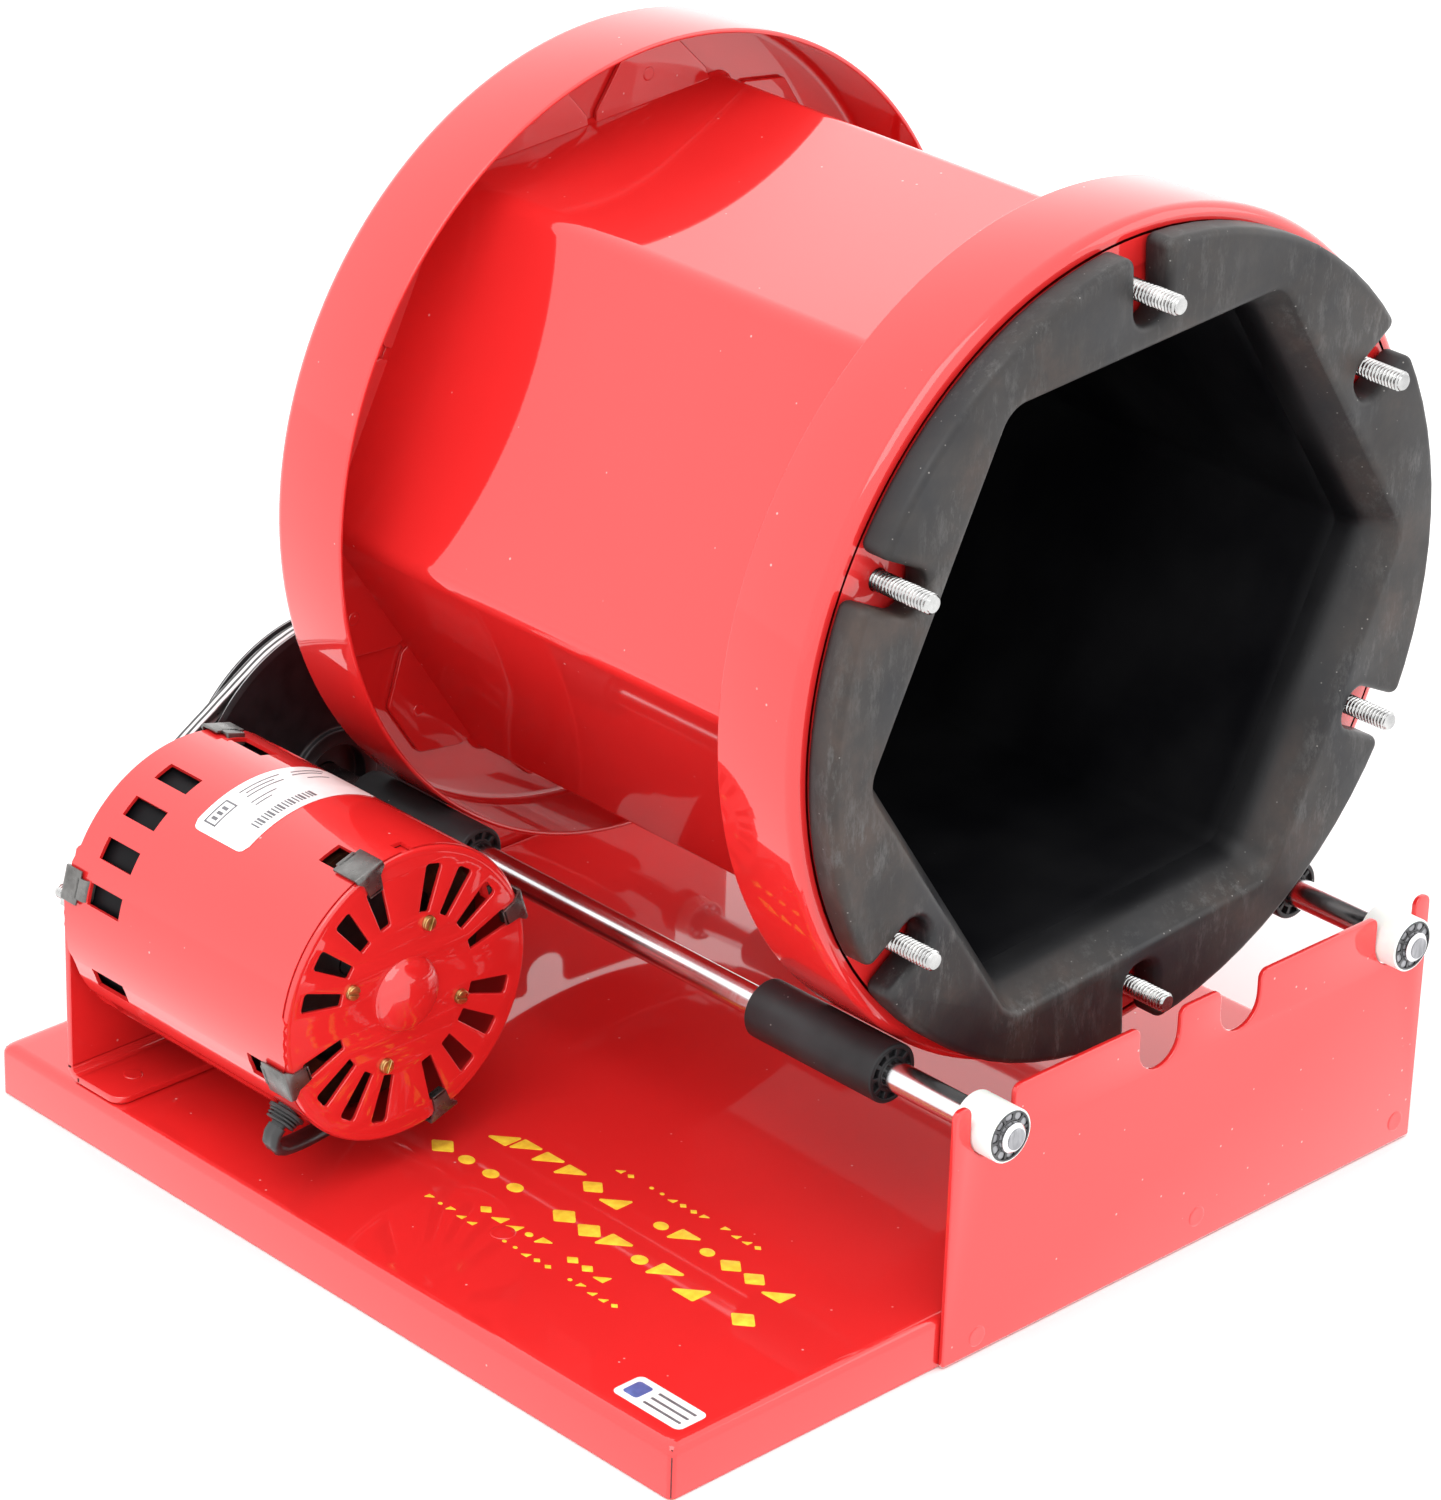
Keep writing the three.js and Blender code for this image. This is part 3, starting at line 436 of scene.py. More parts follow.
def oblong(x0, y0, x1, y1, radius=0, steps=5):
    """A rectangle between two corners, its own corners rounded."""
    return filleted([(x0, y0, radius), (x1, y0, radius), (x1, y1, radius), (x0, y1, radius)], steps=steps)


def circle(radius, x=0, y=0, steps=64):
    return [polar(radius, 360 * k / steps, x, y) for k in range(steps)]


def hexagon(apothem, fillet, first=0, steps=5):
    """A rounded hexagon with its corners at first degrees and every 60 after."""
    corner = apothem / math.cos(math.radians(30))
    return filleted([(*polar(corner, first + 60 * i), fillet) for i in range(6)], steps=steps)


def hex_rings(steps, rings):
    """Rings for loft from (apothem, fillet, y)."""
    return [[(x, y, z) for x, z in hexagon(apothem, fillet, steps=steps)] for apothem, fillet, y in rings]


def lathe(corners, steps=96, closed=False, fillet_steps=4):
    """A profile of (radius, y) or (radius, y, fillet) turned about the Y axis."""
    points, faces, rings = [], [], []
    for radius, y in filleted(corners, closed, fillet_steps):
        count = 1 if radius < 1e-6 else steps
        rings.append([len(points) + k % count for k in range(steps)])
        points += [(x, y, z) for x, z in circle(radius, steps=count)]
    for low, high in list(zip(rings, rings[1:])) + ([(rings[-1], rings[0])] if closed else []):
        for k in range(steps):
            n = (k + 1) % steps
            corner_numbers = dict.fromkeys((low[k], low[n], high[n], high[k]))
            if len(corner_numbers) > 2:
                faces.append(tuple(corner_numbers))
    return points, faces


def tube(inner, outer, low, high, fillet=0.0, steps=48, inner_fillet=0.0):
    """A ring round the Y axis, or a disc when its inner radius is 0."""
    return lathe([(inner, low, inner_fillet), (outer, low, fillet), (outer, high, fillet),
                  (inner, high, inner_fillet)], steps, closed=inner > 0)


def loft(rings, closed=False):
    """A skin over rings of equally many points, capped at both ends unless it closes on itself."""
    count = len(rings[0])
    points = [tuple(p) for ring in rings for p in ring]
    faces = []
    for i in range(len(rings) if closed else len(rings) - 1):
        low, high = i * count, (i + 1) % len(rings) * count
        for k in range(count):
            n = (k + 1) % count
            faces.append((low + k, low + n, high + n, high + k))
    if not closed:
        faces.append(tuple(reversed(range(count))))
        faces.append(tuple(range((len(rings) - 1) * count, len(rings) * count)))
    return points, faces


def plate(outlines, low, high, edge=0.25, steps=2, axes="xz"):
    """A flat outline with holes made solid from low to high across it, its edges rounded."""
    curve = bpy.data.curves.new("outline", "CURVE")
    curve.dimensions = "2D"
    curve.fill_mode = "BOTH"
    for line in outlines:
        spline = curve.splines.new("POLY")
        spline.points.add(len(line) - 1)
        for point, (u, v) in zip(spline.points, line):
            point.co = (u, v, 0, 1)
        spline.use_cyclic_u = True
    curve.extrude = (high - low) / 2 - edge
    curve.bevel_depth = edge
    curve.bevel_resolution = steps
    curve.offset = -edge
    holder = bpy.data.objects.new("outline", curve)
    mesh = bpy.data.meshes.new_from_object(holder)
    at = (low + high) / 2
    change = {
        "xz": lambda u, v, w: (u, at - w, v),
        "yz": lambda u, v, w: (at + w, u, v),
        "xy": lambda u, v, w: (u, v, at + w),
    }[axes]
    points = [change(*p.co) for p in mesh.vertices]
    faces = [tuple(face.vertices) for face in mesh.polygons]
    bpy.data.meshes.remove(mesh)
    bpy.data.objects.remove(holder)
    bpy.data.curves.remove(curve)
    return points, faces


def swept(path, section, closed=False, side=Vector((0, 1, 0)), twist=None):
    """A section of (u, v) carried along a path without twisting; u starts along side."""
    path = [Vector(p) for p in path]
    count = len(path)
    rings = []
    across = side.copy()
    for i, here in enumerate(path):
        before = path[i - 1] if closed or i > 0 else here
        after = path[(i + 1) % count] if closed or i < count - 1 else here
        along = (after - before).normalized()
        across = (across - along * across.dot(along)).normalized()
        turn = Matrix.Rotation(twist(i), 3, along) if twist else Matrix.Identity(3)
        u_axis = turn @ across
        v_axis = along.cross(u_axis)
        rings.append([here + u_axis * u + v_axis * v for u, v in section])
    return loft(rings, closed)


def sheet_skin(outer, inner, closed=False, solid=lambda i, k: True):
    """Both sides of a sheet through rows of points, and the edges round it and its open cells."""
    rows, count = len(outer), len(outer[0])
    layer = rows * count
    cells = count if closed else count - 1

    def filled(i, k):
        k = k % count if closed else k
        return 0 <= i < rows - 1 and 0 <= k < cells and solid(i, k)

    faces = []
    for i, k in ((i, k) for i in range(rows - 1) for k in range(cells) if filled(i, k)):
        a, b = i * count + k, i * count + (k + 1) % count
        c, d = b + count, a + count
        faces += [(a, b, c, d), (layer + d, layer + c, layer + b, layer + a)]
        for low, high, row, cell in ((a, b, i - 1, k), (c, d, i + 1, k), (d, a, i, k - 1), (b, c, i, k + 1)):
            if not filled(row, cell):
                faces.append((high, low, layer + low, layer + high))
    return [p for side in (outer, inner) for row in side for p in row], faces


def threaded(radius, y0, y1, pitch, depth):
    """A screw thread about the Y axis, chamfered at both ends."""
    steps, per_pitch = 28, 6
    rows = int((y1 - y0) / pitch * per_pitch)
    rings = []
    for y in (y0 + (y1 - y0) * i / rows for i in range(rows + 1)):
        limit = radius - max(0, 1.0 - min(y - y0, y1 - y)) * 0.8
        ring = []
        for k in range(steps):
            wave = abs(2 * ((y / pitch - k / steps) % 1) - 1)
            x, z = polar(min(limit, radius - depth * (1 - min(1, wave * 1.35))), 360 * k / steps)
            ring.append((x, y, z))
        rings.append(ring)
    return loft(rings)


def piece(name, shape, material, body, slot, replaces=(), sharp=32, at=(0, 0), bevel=0.0):
    """Makes the object: a closed skin facing out, smooth up to the sharp angle, riding on its body."""
    mesh = bpy.data.meshes.new(name)
    mesh.from_pydata([((x + at[0]) * MM, y * MM, (z + at[1]) * MM) for x, y, z in shape[0]], [], shape[1])
    work = bmesh.new()
    work.from_mesh(mesh)
    bmesh.ops.remove_doubles(work, verts=work.verts, dist=2e-6)
    bmesh.ops.recalc_face_normals(work, faces=work.faces)
    work.to_mesh(mesh)
    work.free()
    mesh.materials.append(material)
    made = bpy.data.objects.new(name, mesh)
    bpy.context.scene.collection.objects.link(made)
    if bevel:
        modifier = made.modifiers.new("edges", "BEVEL")
        modifier.width = bevel * MM
        modifier.segments = 2
        modifier.limit_method = "ANGLE"
        modifier.angle_limit = math.radians(40)
        bpy.context.view_layer.objects.active = made
        made.select_set(True)
        bpy.ops.object.modifier_apply(modifier="edges")
        made.select_set(False)
        mesh = made.data
    for polygon in mesh.polygons:
        polygon.use_smooth = True
    mesh.set_sharp_from_angle(angle=math.radians(sharp))
    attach(made, body)
    if replaces:
        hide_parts(*([replaces] if isinstance(replaces, str) else replaces))
    return made


def red(name, shape, replaces=(), body="base", **more):
    return piece(name, shape, RED, body, "red_enamel", replaces, **more)


def dimple(radius=2.6, depth=0.35, proud=0.25):
    """A spot weld's mark: a shallow cup in a low ring, standing on Y = 0 and facing -Y."""
    return lathe([
        (0, depth - proud - 0.3), (radius * 0.6, depth - proud - 0.35, 0.8), (radius * 0.85, -proud, 0.4),
        (radius, 0.05, 0.2), (radius * 0.9, 0.3), (0, 0.3),
    ], 28)


# ------------------------------------------------------------------ cord
CORD_WIDTH, CORD_THICK = 6.6, 3.4
ROUTE = [  # from the strain relief to the coil, with X from the pan's left edge
    (5.3, 24.5, 41.2), (3.6, 24.6, 39.3), (3.1, 24.8, 36.6), (4.9, 25.3, 33.8), (8, 26.2, 32.2),
    (14.5, 28.8, 29.9), (25, 33, 27), (36.5, 37.6, 24.7), (49.5, 43.8, 22.7), (63, 53, 21.5), (76, 65, 21.2),
    (86.5, 79, 21.2), (92, 93, 21.2), (92.8, 109, 21.2), (92.6, 124, 21.2), (92, 138, 21.2), (92, 150, 21.2),
    (94, 160, 19.8), (98.5, 168, 14.5), (106, 174, 8), (117, 177.5, 4.4), (133, 178.5, 3.6),
    (153, 177.5, 3.6), (175, 176.6, 3.6), (199, 176, 3.6),
]
COIL_X, COIL_Y, COIL_RADIUS, COIL_PITCH, COIL_TURNS = 223, 219, 36, 7, 6
PLUG_X, PLUG_Y, PLUG_Z = 251, 175, 7.3


def eased(t):
    """From 0 to 1 with a soft start and end."""
    t = min(1, max(0, t))
    return t * t * (3 - 2 * t)


def smooth_line(points, step):
    """A Catmull-Rom curve through points, with a point about every step."""
    points = [Vector(p) for p in points]
    ends = [2 * points[0] - points[1]] + points + [2 * points[-1] - points[-2]]
    line = []
    for a, b, c, d in zip(ends, ends[1:], ends[2:], ends[3:]):
        parts = max(1, round((c - b).length / step))
        for k in range(parts):
            t = k / parts
            line.append(0.5 * (2 * b + (c - a) * t + (2 * a - 5 * b + 4 * c - d) * t * t
                               + (3 * b - a - 3 * c + d) * t ** 3))
    return line + [points[-1]]


def coil_points():
    """From where the lead meets the coil, round the lower turns inwards and the upper ones out."""
    per_turn, half = 30, COIL_TURNS // 2
    points = []
    for k in range(6, COIL_TURNS * per_turn - 5):
        turns = k / per_turn
        inward = min(turns, COIL_TURNS - turns, half - 0.5) / (half - 0.5)
        x, y = polar(COIL_RADIUS + COIL_PITCH * (1 - inward), 360 * turns - 90, COIL_X, COIL_Y)
        points.append((x, y, 3.7 + 6.8 * eased((turns - half + 0.25) / 0.5)))
    return points


def cord_line():
    """The whole centreline: the lead, the coil, and down to the plug's tail."""
    tail = [(PLUG_X - 14, PLUG_Y + 0.6, 8.6), (PLUG_X - 6, PLUG_Y, 7.6), (PLUG_X + 1, PLUG_Y, PLUG_Z)]
    return [Vector((LEFT + x, y, z)) for x, y, z in smooth_line(ROUTE + coil_points() + tail, 2.6)]


def cord_section():
    """Two round cores side by side with a groove between them."""
    radius = CORD_THICK / 2
    right = [polar(radius, -115 + 230 * k / 7, CORD_WIDTH / 2 - radius) for k in range(8)]
    return right + [(-u, -v) for u, v in right]


def make_cord():
    line = cord_line()

    def twist(i):
        """The flat cord turns on edge on its way into the coil."""
        return math.radians(90) * eased((i / len(line) - 0.16) / 0.06)

    cord = piece("mains_lead", swept(line, cord_section(), twist=twist), VINYL,
                 "base", "cord_jacket", ("power_cord", "cord_coil"), sharp=60)
    return cord, [tuple(p * MM) for p in line]


def make_plug():
    """A moulded plug on its side: rounded body with grip ribs, ribbed tail and two flat blades."""
    x, y, z = LEFT + PLUG_X, PLUG_Y, PLUG_Z

    def along_x(shape):
        return mapped(shape, lambda a, b, c: (x + b, y + a, z + c))

    rings = [[(x + along, y + u, z + v) for u, v in oblong(-wide, -high, wide, high, 2)]
             for along, wide, high in ((22, 3.6, 2.5), (24, 5.4, 3.4), (29, 9.6, 5.3), (36, 11, 6.5),
                                       (46, 11, 6.5), (48, 10.4, 6), (49, 9.4, 5.2))]
    core = along_x(lathe([(0, 0.5), (2.9, 0.5), (3.3, 24), (0, 24)], 24))
    ribs = [along_x(tube(0, 3.7 + 0.12 * k, 2 + 3.4 * k, 4.4 + 3.4 * k, 0.6, 24)) for k in range(6)]
    grips = [plate([oblong(start, z - 4, start + 1.2, z + 4, 0.5)], side - 0.5, side + 0.3, 0.2)
             for start in (x + 31 + 2.6 * k for k in range(5)) for side in (y - 11, y + 11)]
    plug = piece("plug_body", merged(loft(rings), core, *ribs, *grips), PLASTIC, "base", "black_plastic",
                 "mains_plug")
    tip, back, half = x + 64.6, x + 48, 3.15
    outline = filleted([(back, z - half), (tip, z - half, 1.4), (tip, z + half, 1.4), (back, z + half)])
    blades = []
    for label, blade_y in (("a", y - 6.35), ("b", y + 6.35)):
        blade = plate([outline, circle(1.5, x + 60, z, 16)], blade_y - 0.75, blade_y + 0.75, 0.2)
        blades.append(piece(f"plug_blade_{label}", blade, BRASS, "base", "brass"))
    return [plug, *blades]


cord_piece, cord_path = make_cord()
make_plug()

# ------------------------------------------------------------------ base, uprights and bracket
SHEET = 1.9
MOUNT_X = 37  # from the motor's axis to each of its mounting studs


def pan_rings(inset, edge):
    """Rings up the outside of a folded pan, from its lower rim over the bent edge to its top."""
    bend = [(PAN_TOP - inset - edge + up, edge - across)
            for across, up in (polar(edge, a) for a in range(0, 91, 15))]
    rings = []
    for z, pull in [(0, 0)] + bend:
        side = inset + pull
        line = oblong(LEFT + side, FRONT + side, RIGHT - side, REAR - side, 2.2 + 0.4 * pull)
        rings.append([(x, y, z) for x, y in line])
    return rings


red("base_pan_sheet", loft(pan_rings(SHEET, 1.6)[::-1] + pan_rings(0, 3.5)), "base_pan", sharp=40)


def corner_seams():
    """Dark rods of painted shade in the slits left at the corners where the flanges were folded down."""
    seams = []
    for x, sx in ((LEFT, -1), (RIGHT, 1)):
        for y, sy in ((FRONT, -1), (REAR, 1)):
            path = [(x - sx * inward, y - sy * inward, z)
                    for inward, z in ((0.86, 0.3), (0.86, 6), (0.86, 12), (0.86, 13.6), (1.45, 15.7))]
            seams.append(swept(path, circle(0.36, steps=10), side=Vector((1, 0, 0))))
    return merged(*seams)


# The corner slits' painted shade.
piece("pan_corner_seams", corner_seams(), SHADOW, "base", "red_enamel")


def upright_outline():
    """Square shoulders, two bearing seats and two spare ones."""
    start, end, top, lip, half = LEFT + 106.5, LEFT + 316.1, 85.8, 3, 8.9
    bearing, spare = SHAFT_Z - half, 69
    line = [(start, 0.2, 1), (start, top, lip)]
    for x, root in ((DRIVE_X, bearing), (DRUM_X - 17.8, spare), (DRUM_X + 17.8, spare), (IDLER_X, bearing)):
        line += [(x - half, top, lip), (x - half, root, half - 0.05),
                 (x + half, root, half - 0.05), (x + half, top, lip)]
    return filleted(line + [(end, top, lip), (end, 0.2, 1)], steps=7)


for name, face, skin, weld in (("front_upright", FRONT - 0.3 - SHEET, FRONT - 0.3 - SHEET, dimple(3.6)),
                               ("rear_upright", REAR + 0.3, REAR + 0.3 + SHEET, mirrored(dimple(3.6)))):
    sheet = plate([upright_outline()], face, face + SHEET, 0.55, 3)
    welds = [moved(weld, LEFT + x, skin, z) for x, z in ((120.6, 5.8), (216, 9.3), (308.6, 7.7))]
    red(f"{name}_sheet", merged(sheet, *welds), name)


def bracket_shape():
    low, face, sheet = PAN_TOP + 0.3, 119.3, 2.4
    x0, x1, top, back = LEFT + 1.7, LEFT + 88.3, 87, face + sheet
    wall = plate([
        filleted([(x0, low + 4), (x1, low + 4), (x1, top, 6), (x0, top, 6)]),
        circle(12.4, MOTOR_X, MOTOR_Z, 40),
        *(circle(2.8, MOTOR_X + x, MOTOR_Z, 16) for x in (-MOUNT_X, MOUNT_X)),
    ], face, back, 0.5, 3)
    bend = plate([filleted([
        (back, low + 5), (face, low + 5), (face, low + sheet, 2.4), (back - 6, low + sheet),
        (back - 6, low), (back, low, 4.8),
    ], steps=8)], x0, x1, 0.3, 2, axes="yz")
    shelf = plate([filleted([(x0, back - 5), (x0, back - 25, 5), (x1, back - 25, 5), (x1, back - 5)])],
                  low, low + sheet, 0.5, 3, axes="xy")
    welds = [moved(laid(dimple(3.2, 0.35, 0.3)), LEFT + x, back - 15, low + sheet) for x in (15.5, 76)]
    return merged(wall, bend, shelf, *welds)


red("bracket_sheet", bracket_shape(), "motor_bracket")
red("pan_weld_marks", merged(*[moved(laid(dimple(4.2, 0.3, 0.22)), LEFT + x, FRONT + y, PAN_TOP)
                               for x, y in ((42, 118), (72, 196))]))


def sticker(x, y, degrees):
    """A white rounded sticker with a plain block and three rules."""
    def on_top(corners, radius, low, high):
        line = turned(oblong(*corners, radius), degrees, x, y)
        return plate([line], PAN_TOP + low, PAN_TOP + high, 0.03, 1, axes="xy")

    piece("corner_sticker", on_top((-14, -6, 14, 6), 2.2, 0, 0.14), PAPER, "base", "red_enamel")
    bars = [on_top((-11.8, v - 0.5, 3.5, v + 0.5), 0.3, 0.12, 0.2) for v in (-3, 0, 3)]
    piece("corner_sticker_bars", merged(*bars), GREY_INK, "base", "red_enamel")
    piece("corner_sticker_block", on_top((6, -3.6, 12, 3.6), 1.2, 0.12, 0.2), BLUE_INK, "base", "red_enamel")


sticker(LEFT + 13.5, FRONT + 19.5, 90)


def plate_marks():
    """Rows of small yellow lozenges, dots and wedges, a pattern with no lettering in it."""
    z, half, r = PAN_TOP + 0.02, 0.5, 0.08
    kinds = (
        [(-half, 0, r), (0, -half, r), (half, 0, r), (0, half, r)],
        [(*point, 0) for point in circle(0.28, steps=20)],
        [(-half, -half, r), (half, -half, r), (-half, half, r)],
        [(half, half, r), (-half, half, r), (half, -half, r)],
    )
    marks = []
    for row, (row_x, start, end, pitch, size) in enumerate((
            (93, 62, 128, 4.6, 2.4), (80, 40, 170, 10, 7.6), (62, 36, 178, 11, 8.6),
            (47, 80, 136, 6.4, 4.2), (39, 66, 150, 4.8, 2.4))):
        for k in range(round((end - start) / pitch)):
            if (3 * k + row) % 7 == 5:
                continue
            x, y = LEFT + row_x, FRONT + start + pitch * k
            outline = kinds[(k ** 3 + 5 * k + 2 * row + k // 3) % 4]
            line = filleted([(x + u * size, y + v * size * 1.2, fillet * size) for u, v, fillet in outline])
            marks.append(plate([line], z, z + 0.1, 0.03, 1, axes="xy"))
    return merged(*marks)


piece("pan_printed_marks", plate_marks(), YELLOW_INK, "base", "red_enamel")

# ------------------------------------------------------------------ shafts, rollers and bearings
SHAFT_R, SHAFT_END = 4.76, 165.4
ROLLER_R, ROLLER_LENGTH = 9.5, 53
NEEDLES = 10


def roller_shape(start):
    """A rubber sleeve on a moulded core whose ends show a ring of small pockets."""
    end, bore, core = start + ROLLER_LENGTH, SHAFT_R + 0.1, 7.9
    outer = lathe([
        (bore, start + 1.6), (core, start + 1.6, 0.2), (core, start, 0.3), (ROLLER_R, start, 0.7),
        (ROLLER_R, end, 0.7), (core, end, 0.3), (core, end - 1.6, 0.2), (bore, end - 1.6),
    ], 72, closed=True)
    outline = filleted([(5.2, -0.55, 0.2), (7.95, -0.75, 0.2), (7.95, 0.75, 0.2), (5.2, 0.55, 0.2)])
    spokes = ringed(plate([outline], 0, 1.5, 0.15), 10)
    collars = [tube(bore, 5.7, y, y + 1.4, 0.2, 40) for y in (start + 0.2, end - 1.6)]
    return merged(outer, *(moved(spokes, y=y) for y in (start + 0.3, end - 1.8)), *collars)


def shaft_shape():
    end = [(0, SHAFT_END - 0.35), (SHAFT_R - 0.9, SHAFT_END - 0.35, 0.2), (SHAFT_R, SHAFT_END - 1.25, 0.3)]
    return lathe([(radius, -y, *fillet) for radius, y, *fillet in end] + end[::-1], 64)


def shaft_faces():
    """The sawn faces at both ends."""
    face = lathe([(0, -SHAFT_END), (1.2, -SHAFT_END + 0.05, 0.3), (3.2, -SHAFT_END, 0.4),
                  (3.85, -SHAFT_END + 0.4, 0.2), (0, -SHAFT_END + 0.5)], 48)
    return merged(face, flipped(face))


def needle_cage(y0, y1):
    """A needle bearing: rim, inner collar, and thin bars that leave pockets for the needles."""
    rim = tube(7.35, 7.95, y0 - 0.25, y1 + 0.25, 0.2, 64, inner_fillet=0.15)
    hub = tube(SHAFT_R + 0.12, 5.2, y0, y1, 0.12)
    bar = plate([filleted([(5.1, -0.45, 0.1), (7.5, -0.6, 0.1), (7.5, 0.6, 0.1), (5.1, 0.45, 0.1)])],
                y0 + 0.05, y1 - 0.05, 0.12)
    floor = tube(5.1, 7.5, y0 + 1.9, y1 - 1.9)
    return merged(rim, hub, ringed(bar, NEEDLES, 6), floor)


def needles(y0, y1):
    return ringed(moved(tube(0, 1.3, y0 + 0.3, y1 - 0.3, 0.15, 18), 6.28), NEEDLES, 6 + 180 / NEEDLES)


for axle, at in (("drive", DRIVE_AT), ("idler", (IDLER_X, SHAFT_Z))):
    piece(f"{axle}_shaft_bar", shaft_shape(), STEEL, axle, "bright_steel", f"{axle}_shaft", at=at)
    piece(f"{axle}_shaft_faces", shaft_faces(), SAWN, axle, "bright_steel", at=at)
    for end, start in (("front", -115), ("rear", 67)):
        piece(f"{axle}_roller_{end}_sleeve", roller_shape(start), ROLLER, axle, "black_rubber",
              f"{axle}_roller_{end}", at=at)
    for end, (y0, y1) in (("front", (-162.6, -147.9)), ("rear", (147.9, 162.6))):
        piece(f"{axle}_sleeve_{end}", tube(7.9, 8.6, y0, y1, 0.35, 72), NYLON, "base", "cream_nylon",
              f"{axle}_bearing_sleeve_{end}", at=at)
        piece(f"{axle}_cage_{end}", needle_cage(y0, y1), CAGE, "base", "dark_steel",
              f"{axle}_needle_bearing_{end}", at=at)
        piece(f"{axle}_needles_{end}", needles(y0, y1), SAWN, "base", "bright_steel", at=at)

# ------------------------------------------------------------------ pulleys and belt
PULLEY_FRONT, PULLEY_BACK = 138.5, 147.5
GROOVE = (PULLEY_FRONT + PULLEY_BACK) / 2
BIG_R, LITTLE_R, GROOVE_DEPTH = 56.5, 14.5, 5


def pulley_shape(radius, face_radius, hub, hub_front, recess, recess_end, bore, steps):
    root = radius - GROOVE_DEPTH
    return lathe([
        (bore, recess_end), (recess, recess_end, 0.6), (recess, hub_front, 0.4), (hub, hub_front, 0.8),
        (hub, PULLEY_FRONT, 0.9), (face_radius, PULLEY_FRONT, 0.4),
        (radius, PULLEY_FRONT + 0.7, 0.3), (radius, GROOVE - 3.3, 0.2), (root, GROOVE - 2.5, 0.3),
        (root, GROOVE + 2.5, 0.3), (radius, GROOVE + 3.3, 0.2), (radius, PULLEY_BACK, 0.4),
        (bore, PULLEY_BACK),
    ], steps, closed=True)


def set_screw(radius, y):
    """A socket screw's head in a pulley hub, pointing along +X."""
    head = lathe([(0, radius - 1), (2.3, radius - 1), (2.3, radius + 0.5, 0.3), (1.3, radius + 0.5, 0.1),
                  (1.1, radius - 0.6), (0, radius - 0.6)], 24)
    return mapped(head, lambda a, b, c: (b, y + a, c))


def belt_path():
    """The loop round both pulleys at the middle of the belt's height."""
    big, little = Vector(DRIVE_AT), Vector(MOTOR_AT)
    lift = 2.5 - GROOVE_DEPTH
    big_r, little_r = BIG_R + lift, LITTLE_R + lift
    line = little - big
    lean = math.degrees(math.atan2(line.y, line.x))
    wrap = math.degrees(math.acos((big_r - little_r) / line.length))
    path = []
    for centre, radius, first, last, count in ((big, big_r, lean + wrap, lean - wrap + 360, 90),
                                               (little, little_r, lean - wrap, lean + wrap, 36)):
        for k in range(count + 1):
            x, z = polar(radius, first + (last - first) * k / count, *centre)
            path.append(Vector((x, GROOVE, z)))
    spread = []
    for a, b in zip(path, path[1:] + path[:1]):
        parts = max(1, round((b - a).length / 4))
        spread += [a.lerp(b, k / parts) for k in range(parts)]
    return spread


belt_section = filleted([(-2.1, 2, 0.4), (-2.4, -1.4, 0.3), (-2.1, -2, 0.3),
                         (2.1, -2, 0.3), (2.4, -1.4, 0.3), (2.1, 2, 0.4)], steps=2)
rim_band = tube(BIG_R - 0.3, BIG_R + 0.06, PULLEY_FRONT + 0.75, GROOVE - 3.4, 0.05, 120)
piece("drive_pulley_wheel", pulley_shape(BIG_R, 54.6, 17.5, 136, 12.4, 141, 5.0, 128), IRON, "drive",
      "black_iron", "drive_pulley", at=DRIVE_AT)
piece("drive_pulley_rim", merged(rim_band, flipped(rim_band, GROOVE)), RUBBED, "drive",
      "black_iron", at=DRIVE_AT)
piece("motor_pulley_wheel", pulley_shape(LITTLE_R, 13.7, 9, 133, 6, 134, 4.2, 72), IRON, "rotor",
      "black_iron", "motor_pulley", at=MOTOR_AT)
piece("motor_pulley_screw", swung(set_screw(9, 135.6), 110), SPRING, "rotor", "dark_steel", at=MOTOR_AT)
piece("drive_belt_loop", swept(belt_path(), belt_section, closed=True), BELT, "base", "belt_rubber",
      "drive_belt", sharp=40)

# ------------------------------------------------------------------ motor
SHELL_R, WALL, SHELL_FRONT, SHELL_REAR = 47.6, 1.2, 13.4, 114.5
FACE = SHELL_FRONT - 1.4
MOTOR_MIDDLE = (SHELL_FRONT + SHELL_REAR) / 2
WINDOWS = (90.3, 105.3)  # the windows' Y
FRONT_CLIPS, REAR_CLIPS, SCREWS = 18, 75, 69  # degrees at which the first of each four stands
SCREW_R = 22.8


